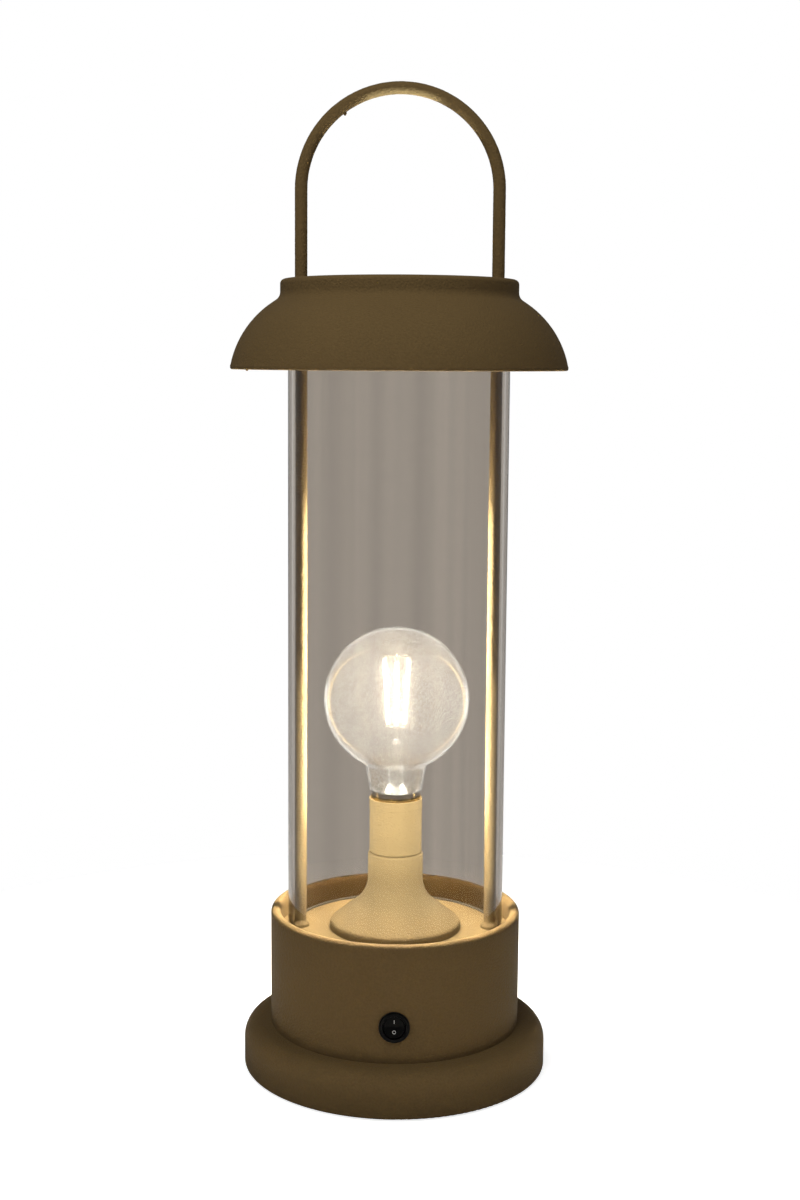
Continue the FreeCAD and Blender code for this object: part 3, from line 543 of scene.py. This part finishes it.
def ring_tree():
    """Spreads copies of the piece it is given evenly on a circle about the Z axis."""
    w = Growth("Ring of Copies", [("Count", "Int"), ("Circle", "Float"), ("First Angle", "Float")])
    points = w.node("GeometryNodeMeshLine", {"Count": w.given["Count"]}).outputs["Mesh"]
    index = w.node("GeometryNodeInputIndex").outputs[0]
    angle = w.math("ADD", w.given["First Angle"],
                   w.math("MULTIPLY", w.math("DIVIDE", index, w.given["Count"]), math.tau))
    place = w.vector(w.math("MULTIPLY", w.given["Circle"], w.math("COSINE", angle)),
                     w.math("MULTIPLY", w.given["Circle"], w.math("SINE", angle)), 0.0)
    spread = w.node("GeometryNodeSetPosition", {"Geometry": points, "Position": place}).outputs[0]
    copies = w.node("GeometryNodeInstanceOnPoints", {
        "Points": spread, "Instance": w.given["Geometry"], "Rotation": w.vector(0.0, 0.0, angle)})
    return w.finish(copies.outputs[0])


def rod_tree():
    """A rod bent into two legs and a half circle, its surface raised into the grains of its coat."""
    numbers = ("Half Span", "Arch Centre", "Foot", "Rod Radius", "Shoulder Radius", "Shoulder Height",
               "Grain", "Relief", "Seed")
    w = Growth("Bent Rod", [(label, "Float") for label in numbers] + [("Steps", "Int"), ("Sides", "Int")])
    g = w.given
    leg = w.math("SUBTRACT", g["Arch Centre"], g["Foot"])
    arch = w.math("MULTIPLY", g["Half Span"], math.pi)
    length = w.math("ADD", w.math("MULTIPLY", leg, 2.0), arch)
    index = w.node("GeometryNodeInputIndex").outputs[0]
    along = w.math("MULTIPLY", w.math("DIVIDE", index, w.math("SUBTRACT", g["Steps"], 1.0)), length)
    past_leg = w.math("SUBTRACT", along, leg)
    turn = w.math("DIVIDE", w.math("MINIMUM", w.math("MAXIMUM", past_leg, 0.0), arch), g["Half Span"])
    below_left = w.math("MAXIMUM", w.math("MULTIPLY", past_leg, -1.0), 0.0)
    below_right = w.math("MAXIMUM", w.math("SUBTRACT", past_leg, arch), 0.0)
    rise = w.math("MULTIPLY", g["Half Span"], w.math("SINE", turn))
    below = w.math("ADD", below_left, below_right)
    height = w.math("SUBTRACT", w.math("ADD", g["Arch Centre"], rise), below)
    across = w.math("MULTIPLY", w.math("MULTIPLY", g["Half Span"], w.math("COSINE", turn)), -1.0)
    line = w.node("GeometryNodeMeshLine", {"Count": g["Steps"]}).outputs["Mesh"]
    bent = w.node("GeometryNodeSetPosition", {"Geometry": line, "Position": w.vector(across, 0.0, height)})
    path = w.node("GeometryNodeMeshToCurve", {"Mesh": bent.outputs[0]}).outputs[0]
    place = w.node("ShaderNodeSeparateXYZ",
                   {"Vector": w.node("GeometryNodeInputPosition").outputs[0]}).outputs["Z"]
    upright = w.math("MULTIPLY", g["Shoulder Height"], 0.25)
    flare = w.node("ShaderNodeMapRange", {
        "Value": w.math("SUBTRACT", place, g["Foot"]), "From Min": upright, "From Max": g["Shoulder Height"],
        "To Min": g["Shoulder Radius"], "To Max": g["Rod Radius"]},
        interpolation_type="SMOOTHSTEP").outputs["Result"]
    circle = w.node("GeometryNodeCurvePrimitiveCircle", {"Resolution": g["Sides"], "Radius": 1.0})
    sized = w.node("GeometryNodeSetCurveRadius", {"Curve": path, "Radius": flare}).outputs[0]
    swept = w.node("GeometryNodeCurveToMesh", {"Curve": sized, "Profile Curve": circle.outputs["Curve"],
                                               "Fill Caps": True,
                                               "Scale": w.node("GeometryNodeInputRadius").outputs[0]})
    noise = w.node("ShaderNodeTexNoise", {"Scale": w.math("DIVIDE", 1.0, g["Grain"]), "Detail": 2.0,
                                          "W": g["Seed"]}, noise_dimensions="4D")
    raised = w.math("MULTIPLY", w.math("SUBTRACT", noise.outputs[0], 0.5), g["Relief"])
    normal = w.node("GeometryNodeInputNormal").outputs[0]
    offset = w.node("ShaderNodeVectorMath", {"Vector": normal, "Scale": raised}, operation="SCALE")
    grained = w.node("GeometryNodeSetPosition", {"Geometry": swept.outputs[0], "Offset": offset.outputs[0]})
    return w.finish(grained.outputs[0])


TREES = {"Turned Piece": turned_tree, "Ring of Copies": ring_tree, "Bent Rod": rod_tree}


def grown(name, tree_name, values, base=None):
    """A plain mesh piece made by a geometry node tree."""
    tree = bpy.data.node_groups.get(tree_name) or TREES[tree_name]()
    piece = linked(name, base or bpy.data.meshes.new(name))
    modifier = piece.modifiers.new(tree_name, "NODES")
    modifier.node_group = tree
    for item in tree.interface.items_tree:
        if item.item_type == "SOCKET" and item.in_out == "INPUT" and item.name in values:
            modifier[item.identifier] = values[item.name]
    depsgraph = bpy.context.evaluated_depsgraph_get()
    made = bpy.data.meshes.new_from_object(piece.evaluated_get(depsgraph))
    piece.modifiers.remove(modifier)
    piece.data = made
    made.name = name
    return piece


def outwards(piece, degrees=30.0):
    """Turn the faces of a closed piece outwards and smooth its soft edges."""
    bm = bmesh.new()
    bm.from_mesh(piece.data)
    bmesh.ops.recalc_face_normals(bm, faces=bm.faces)
    bm.to_mesh(piece.data)
    bm.free()
    smoothed(piece.data, degrees)
    return piece


def turned(name, corners, slot, sides=192):
    """A piece turned about the Z axis from its closed half section."""
    points = section(corners)
    outline = bpy.data.meshes.new(name)
    outline.from_pydata([(p.x, 0.0, p.y) for p in points],
                        [(i, (i + 1) % len(points)) for i in range(len(points))], [])
    return outwards(grown(name, "Turned Piece", {"Sides": sides, "Material": finish_of(slot)}, outline))


# ---------------------------------------------------------------- the pieces

class LANTERN_OT_metalwork(bpy.types.Operator):
    """Give every node of the frame the finish of its slot"""
    bl_idname = "lantern.metalwork"
    bl_label = "Frame Finishes"

    def execute(self, context):
        for part in frame["record"]["subparts"]:
            piece = frame["nodes"][part["node"]]
            for slot in piece.material_slots:
                slot.material = finish_of(part["material_slot"])
        return {"FINISHED"}


def arch():
    """Half span and height of the centre of the line that the rod's arch follows."""
    half_span = half_width("hoop") - sizes().rod_radius
    return half_span, top_of("hoop") - sizes().rod_radius - half_span


class LANTERN_OT_hoop(bpy.types.Operator):
    """The bent rod: both posts of the lantern and its handle, with the grains of its coat"""
    bl_idname = "lantern.hoop"
    bl_label = "Hoop"

    flare = 1.5
    relief_in_mesh = 0.45

    def execute(self, context):
        size = sizes()
        half_span, centre = arch()
        piece = grown("hoop_rod", "Bent Rod", {
            "Half Span": half_span, "Arch Centre": centre, "Foot": top_of("deck_plate"),
            "Rod Radius": size.rod_radius, "Shoulder Radius": size.rod_radius * self.flare,
            "Shoulder Height": size.shoulder_height, "Grain": size.coat_grain,
            "Relief": size.coat_relief * self.relief_in_mesh, "Steps": 1700, "Sides": 40, "Seed": 3.0,
            "Material": finish_of("powder_coat")})
        finished(outwards(piece, 60), "base", "powder_coat", "hoop")
        return {"FINISHED"}


class LANTERN_OT_tube(bpy.types.Operator):
    """The glass tube with its melted edges"""
    bl_idname = "lantern.tube"
    bl_label = "Glass Tube"

    def execute(self, context):
        radius = half_width("glass_tube")
        inner = radius - sizes().glass_wall
        edge = sizes().glass_wall * 0.45
        low, high = bottom_of("glass_tube"), top_of("glass_tube") - sizes().top_gap
        piece = turned("tube_wall", [(inner, low, edge), (radius, low, edge), (radius, high, edge),
                                     (inner, high, edge)], "tinted_glass", 256)
        finished(piece, "glass", "tinted_glass", "glass_tube")
        return {"FINISHED"}


def globe_section(radius, centre, neck_top, neck_low, foot):
    """The outer line of the globe and its neck, from the crown down to the foot."""
    arc_step = 2
    neck_steps = 14
    dip = math.acos(neck_top / radius)
    turns = [math.radians(arc_step * k) for k in range(int((90 + math.degrees(dip)) / arc_step))]
    points = [Vector((radius * math.sin(turn), centre + radius * math.cos(turn))) for turn in turns]
    join = Vector((neck_top, centre - radius * math.sin(dip)))
    low = Vector((neck_low, foot))
    middle = Vector(((neck_top + neck_low) / 2, join.y - (join.y - foot) * 0.35))
    for step in range(1, neck_steps + 1):
        share = step / neck_steps
        points.append(join.lerp(middle, share).lerp(middle.lerp(low, share), share))
    return points


class LANTERN_OT_bulb(bpy.types.Operator):
    """The globe, its stem, the lit strips and their wires"""
    bl_idname = "lantern.bulb"
    bl_label = "Bulb"

    def execute(self, context):
        self.globe()
        self.stem()
        self.strips()
        return {"FINISHED"}

    def globe(self):
        size = sizes()
        radius = half_width("bulb_globe")
        centre = top_of("bulb_globe") - radius
        rim = top_of("bulb_cap")
        foot = rim + size.globe_wall
        outer = globe_section(radius, centre, size.neck_top, size.neck_bottom, foot)
        tucked_in = [(size.neck_bottom - 0.0022, rim), (0.0129, rim - 0.0006), (0.0127, rim - 0.004)]
        outer = [(p.x, p.y) for p in outer] + tucked_in
        last = len(outer) - 1
        inner = []
        for index in range(last, -1, -1):
            before = Vector(outer[max(index - 1, 0)])
            after = Vector(outer[min(index + 1, last)])
            run = (after - before).normalized() if index else Vector((1, 0))
            place = Vector(outer[index]) + Vector((run.y, -run.x)) * size.globe_wall
            inner.append((max(place.x, 0.0), place.y))
        piece = turned("globe_glass", outer + inner, "bulb_glass", 192)
        finished(piece, "bulb", "bulb_glass", "bulb_globe")

    def stem(self):
        low, high = bottom_of("bulb_stem"), top_of("bulb_stem")
        rim = top_of("bulb_cap")
        press = rim + 0.031
        piece = turned("glass_stem", [
            (0.0, low), (0.011, low, 0.0005), (0.0112, low + 0.0012, 0.0005), (0.0052, rim + 0.004, 0.009),
            (0.0037, press - 0.008, 0.004), (0.0042, press, 0.0018), (0.0016, press + 0.003, 0.001),
            (0.0015, high - 0.001, 0.0), (0.0, high)], "bulb_glass", 96)
        finished(piece, "bulb", "bulb_glass", "bulb_stem")

    def strips(self):
        """Lit strips on a ring, leaning outwards, each with a metal end at its top and bottom."""
        size = sizes()
        radius = size.filament_radius
        low, high = bottom_of("filaments"), top_of("filaments")
        low_circle, high_circle = 0.006, 0.0095
        lean = math.atan2(high_circle - low_circle, high - low)
        half = ((high - low) / math.cos(lean) - 2 * radius * math.tan(lean)) / 2
        tab = 0.0022
        end = tab * 1.2
        upright = Matrix.Translation((0, 0, (low + high) / 2)) @ Matrix.Rotation(lean, 4, "Y")

        def rods(name, thickness, spans):
            def build(bm):
                for start, stop in spans:
                    made = bmesh.ops.create_cone(bm, cap_ends=True, segments=20, radius1=thickness,
                                                 radius2=thickness, depth=stop - start)
                    bmesh.ops.translate(bm, verts=made["verts"], vec=(0, 0, (start + stop) / 2))
                bmesh.ops.transform(bm, matrix=upright, verts=bm.verts)

            return mesh_from(name, build)

        def ring(name, slot, mesh):
            return outwards(grown(name, "Ring of Copies", {
                "Count": size.filament_count, "Circle": (low_circle + high_circle) / 2,
                "First Angle": math.pi / size.filament_count, "Material": finish_of(slot)}, mesh))

        lit = rods("lit_strips", radius, [(tab - half, half - tab)])
        ends = rods("strip_ends", radius * 0.55, [(-half, end - half), (half - end, half)])
        finished(ring("lit_strips", "filament_phosphor", lit), "bulb", "filament_phosphor", "filaments")
        finished(ring("strip_ends", "support_wire", ends), "bulb", "support_wire")


class LANTERN_OT_rocker(bpy.types.Operator):
    """The rocker of the switch, softly rounded, with its printed on and off marks"""
    bl_idname = "lantern.rocker"
    bl_label = "Rocker"

    radius = 0.0067
    slope = math.radians(10)
    middle = 0.0006
    valley = 0.0006
    axis_depth = 0.001
    back = 0.004
    flat_share = 0.955
    rounding = ((0.00004, 0.98), (0.00012, 0.994), (0.00026, 1.0))
    sides = 96
    mark_sides = 48
    mark_reach = 0.47
    mark_thickness = 0.00005
    smooth_below = 35

    def placed(self, bm):
        """Tilt what is built along +Z to its resting side and stand it on the front of the drum."""
        joint = next(j for j in frame["record"]["behaviour"]["joints"] if j["name"] == "rocker_tilt")
        pivot = Vector(joint["pos_m"])
        facing = Matrix.Rotation(math.radians(90), 4, "X")
        tilt = Matrix.Rotation(-self.slope, 4, "X")
        rise = Matrix.Translation((0, 0, self.axis_depth))
        bmesh.ops.transform(bm, matrix=Matrix.Translation(pivot) @ facing @ tilt @ rise, verts=bm.verts)

    def face(self, y):
        """Height of the paddle's face, its valley rounded."""
        return self.middle + math.hypot(y, self.valley) * math.tan(self.slope)

    def paddle(self, bm):
        flat_edge = ring_of(self.radius * self.flat_share, self.sides)
        loops = []
        for share in (0.0, 0.15, 0.3, 0.45, 0.6, 0.72, 0.83, 0.91, self.flat_share):
            loops.append([bm.verts.new((x, y, self.face(y)))
                          for x, y in ring_of(self.radius * share, self.sides)])
        for drop, share in self.rounding:
            wider = share / self.flat_share
            loops.append([bm.verts.new((x * wider, y * wider, self.face(y) - drop)) for x, y in flat_edge])
        loops.append([bm.verts.new((x / self.flat_share, y / self.flat_share, -self.back))
                      for x, y in flat_edge])
        skin(bm, loops)
        bm.faces.new(loops[-1])
        self.placed(bm)

    def seated(self, bm, reach, slope):
        """Lay a mark on one half of the face."""
        lift = self.face(reach) + self.mark_thickness / 4
        bmesh.ops.rotate(bm, verts=bm.verts, matrix=Matrix.Rotation(slope, 3, "X"))
        bmesh.ops.translate(bm, verts=bm.verts, vec=(0, reach, lift))
        self.placed(bm)

    def on_mark(self, bm):
        height = sizes().mark_height
        bmesh.ops.create_cube(bm, size=1.0)
        bmesh.ops.scale(bm, verts=bm.verts, vec=(height * 0.2, height, self.mark_thickness))
        self.seated(bm, self.radius * self.mark_reach, self.slope)

    def off_mark(self, bm):
        half = self.mark_thickness / 2
        loops = []
        for share, level in ((1.0, -half), (1.0, half), (0.62, half), (0.62, -half)):
            loops.append([bm.verts.new((x, y, level))
                          for x, y in ring_of(sizes().mark_height / 2 * share, self.mark_sides)])
        skin(bm, loops + loops[:1])
        self.seated(bm, -self.radius * self.mark_reach, -self.slope)

    def execute(self, context):
        built("rocker_paddle", self.paddle, self.smooth_below, "rocker", "black_plastic", "switch_rocker")
        for name, build in (("on_mark", self.on_mark), ("off_mark", self.off_mark)):
            built(name, build, self.smooth_below, "rocker", "black_plastic", finish="switch_print")
        return {"FINISHED"}


class LANTERN_OT_paint_beads(bpy.types.Operator):
    """Small beads of coat left under the arch and on the rim of the roof"""
    bl_idname = "lantern.paint_beads"
    bl_label = "Paint Beads"

    arch_turn = math.radians(36.7)
    rim_inset = 0.0014
    rim_across = -0.093

    def execute(self, context):
        radius = sizes().bead_radius
        half_span, centre = arch()
        inner = half_span - sizes().rod_radius
        under_arch = (-inner * math.sin(self.arch_turn), 0, centre + inner * math.cos(self.arch_turn))
        self.bead("hoop_bead", "base", under_arch, (radius, radius, radius * 1.5))
        rim = half_width("roof_shell") - self.rim_inset
        on_rim = (self.rim_across, -math.sqrt(rim ** 2 - self.rim_across ** 2), bottom_of("roof_shell"))
        self.bead("roof_bead", "roof", on_rim, (radius * 0.8, radius * 0.8, radius * 0.7))
        return {"FINISHED"}

    def bead(self, name, body, place, radii):
        def build(bm):
            bmesh.ops.create_icosphere(bm, subdivisions=3, radius=1.0)
            bmesh.ops.scale(bm, verts=bm.verts, vec=radii)
            bmesh.ops.translate(bm, verts=bm.verts, vec=place)

        built(name, build, 80, body, "powder_coat")


# ---------------------------------------------------------------- the stage

class LANTERN_OT_stage(bpy.types.Operator):
    """White floor and sky, the lamps outside and inside the tube, and the camera"""
    bl_idname = "lantern.stage"
    bl_label = "Stage"

    floor_reach = 6.0
    floor_lift = 0.8
    floor_fade = (0.16, 0.5)
    gloss_share = 0.1
    lamp_size = 0.6
    bulb_light_radius = 0.009
    vent_light_radius = 0.006
    vent_light_drop = 0.012
    vent_light_angle = math.radians(9)
    bands = 8
    band_circle = 0.063
    band_drop = 0.056
    band_size = (0.03, 0.14)
    rod_band_circle = 0.045
    rod_band_height = 0.268
    rod_band_size = (0.004, 0.19)

    def execute(self, context):
        self.floor()
        self.sky()
        self.lamp("key_lamp", (-0.3, -0.65, 1.15), (0, 0, 0.45), lights().key)
        self.lamp("fill_lamp", (0.9, -0.4, 1.2), (0, 0, 0.5), lights().fill)
        self.bulb_lamps()
        self.camera()
        context.scene.view_settings.view_transform = "Standard"
        return {"FINISHED"}

    def seen_white(self, wiring, plain, white, output):
        """Camera and glass see the white backdrop, gloss sees a little of it, and nothing is lit by it."""
        path = wiring.node("ShaderNodeLightPath").outputs
        share = wiring.math("MULTIPLY", path["Is Glossy Ray"], self.gloss_share)
        for ray in ("Is Camera Ray", "Is Transmission Ray"):
            share = wiring.math("MAXIMUM", share, path[ray])
        wiring.join(wiring.mixed_shader(share, plain, white), output)

    def floor(self):
        """A pale floor, lifted near the lamp and pure white further out."""
        reach = self.floor_reach
        corners = [(-reach, -reach, 0), (reach, -reach, 0), (reach, reach, 0), (-reach, reach, 0)]
        mesh = bpy.data.meshes.new("floor")
        mesh.from_pydata(corners, [], [(0, 1, 2, 3)])
        finish = Finish("floor").set(Base_Color=list(colours().floor), Roughness=0.9,
                                     Specular_IOR_Level=0.1)
        plain = finish.shader.outputs[0]
        lift = finish.node("ShaderNodeEmission", {"Strength": self.floor_lift}).outputs[0]
        near = finish.node("ShaderNodeAddShader", {0: plain, 1: lift}).outputs[0]
        far = finish.node("ShaderNodeEmission").outputs[0]
        fade = finish.ranged(finish.from_axis(), *self.floor_fade)
        self.seen_white(finish, plain, finish.mixed_shader(fade, near, far), finish.surface)
        mesh.materials.append(finish.material)
        linked("floor", mesh)

    def sky(self):
        world = bpy.data.worlds.new("sky")
        bpy.context.scene.world = world
        world.use_nodes = True
        wiring = Wiring(world.node_tree)
        nodes = world.node_tree.nodes
        soft = nodes["Background"]
        soft.inputs["Color"].default_value = WHITE
        soft.inputs["Strength"].default_value = lights().sky
        white = wiring.node("ShaderNodeBackground", {"Color": WHITE})
        self.seen_white(wiring, soft.outputs[0], white.outputs[0], nodes["World Output"].inputs["Surface"])

    def lamp(self, name, place, target, power):
        data = bpy.data.lights.new(name, "AREA")
        data.energy = power
        data.size = self.lamp_size
        lamp = bpy.data.objects.new(name, data)
        lamp.location = place
        lamp.rotation_euler = (Vector(target) - Vector(place)).to_track_quat("-Z", "Y").to_euler()
        lamp.visible_glossy = False
        bpy.context.scene.collection.objects.link(lamp)

    def bulb_lamps(self):
        """What the strips give: light from their heart, up the vent, off the glass and on the rods."""
        light = lights()
        crown = top_of("bulb_globe")
        heart = crown - half_width("bulb_globe")
        self.point("bulb_light", heart, light.bulb)
        self.cone("crown_light", crown - self.vent_light_drop, light.crown)
        for index in range(self.bands):
            turn = Matrix.Rotation(math.tau * (index + 0.5) / self.bands, 3, "Z")
            self.band(f"returned_light_{index}", turn @ Vector((self.band_circle, 0, 0)), -1,
                      heart - self.band_drop, self.band_size, light.returned / self.bands)
        for side in (-1, 1):
            self.band(f"rod_light_{side}", Vector((self.rod_band_circle * side, 0, 0)), 1,
                      self.rod_band_height, self.rod_band_size, light.rods)

    def point(self, name, height, power):
        data = bpy.data.lights.new(name, "POINT")
        data.shadow_soft_size = self.bulb_light_radius
        self.in_tube(data, power).location = (0, 0, height)

    def cone(self, name, height, power):
        """Light that goes straight up through the vent of the roof."""
        data = bpy.data.lights.new(name, "SPOT")
        data.shadow_soft_size = self.vent_light_radius
        data.spot_size = self.vent_light_angle
        data.spot_blend = 0.4
        lamp = self.in_tube(data, power)
        lamp.location = (0, 0, height)
        lamp.rotation_euler = (math.pi, 0, 0)

    def band(self, name, offset, facing, height, size, power):
        """An upright strip of light that faces away from the axis of the tube, or with -1 towards it."""
        data = bpy.data.lights.new(name, "AREA")
        data.shape = "RECTANGLE"
        data.size, data.size_y = size
        lamp = self.in_tube(data, power)
        lamp.location = (offset.x, offset.y, height)
        lamp.rotation_euler = (offset * facing).to_track_quat("-Z", "Y").to_euler()

    def in_tube(self, data, power):
        """A lamp inside the tube, felt by what it lights and not seen itself. It rises with the bulb."""
        data.energy = power
        data.color = list(colours().lamplight)[:3]
        lamp = bpy.data.objects.new(data.name, data)
        lamp.visible_camera = False
        lamp.visible_glossy = False
        lamp.visible_transmission = False
        lamp.parent = bpy.data.objects["globe_glass"]
        bpy.context.scene.collection.objects.link(lamp)
        return lamp

    def camera(self):
        """The photo's point of view, fitted to the outlines of foot, drum, tube, roof and handle."""
        data = bpy.data.cameras.new("camera")
        data.lens = 52.533
        data.sensor_width = 36.0
        data.shift_x = 0.02327
        data.shift_y = -0.01632
        data.clip_start = 0.01
        place = Vector((0, -1.129765, 0.466921))
        turn, dip, roll = math.radians(-0.836), math.radians(7.207), math.radians(0.317)
        ahead = Vector((math.sin(turn) * math.cos(dip), math.cos(turn) * math.cos(dip), -math.sin(dip)))
        right = ahead.cross(Vector((0, 0, 1))).normalized()
        up = right.cross(ahead)
        axes = (right * math.cos(roll) + up * math.sin(roll), up * math.cos(roll) - right * math.sin(roll),
                -ahead)
        camera = bpy.data.objects.new("camera", data)
        camera.matrix_world = Matrix.Translation(place) @ Matrix(axes).transposed().to_4x4()
        bpy.context.scene.collection.objects.link(camera)
        bpy.context.scene.camera = camera


# ---------------------------------------------------------------- panel and run

OPERATORS = (LANTERN_OT_metalwork, LANTERN_OT_hoop, LANTERN_OT_tube, LANTERN_OT_bulb, LANTERN_OT_rocker,
             LANTERN_OT_paint_beads, LANTERN_OT_stage)


class LANTERN_PT_panel(bpy.types.Panel):
    bl_idname = "LANTERN_PT_panel"
    bl_label = "Lantern Table Lamp"
    bl_space_type = "VIEW_3D"
    bl_region_type = "UI"
    bl_category = "Lantern"

    def draw(self, context):
        for group in (sizes(), colours(), lights()):
            box = self.layout.box()
            for name in group.__annotations__:
                box.prop(group, name)
        for operator in OPERATORS:
            self.layout.operator(operator.bl_idname)


CLASSES = (LanternSizes, LanternColours, LanternLight) + OPERATORS + (LANTERN_PT_panel,)
SETTINGS = {"lantern_sizes": LanternSizes, "lantern_colours": LanternColours, "lantern_light": LanternLight}


def register():
    for cls in CLASSES:
        bpy.utils.register_class(cls)
    for name, group in SETTINGS.items():
        setattr(bpy.types.Scene, name, PointerProperty(type=group))


def unregister():
    for name in SETTINGS:
        delattr(bpy.types.Scene, name)
    for cls in reversed(CLASSES):
        bpy.utils.unregister_class(cls)


def main():
    register()
    for operator in OPERATORS:
        getattr(bpy.ops.lantern, operator.bl_idname.split(".")[1])()


if __name__ == "__main__":
    main()
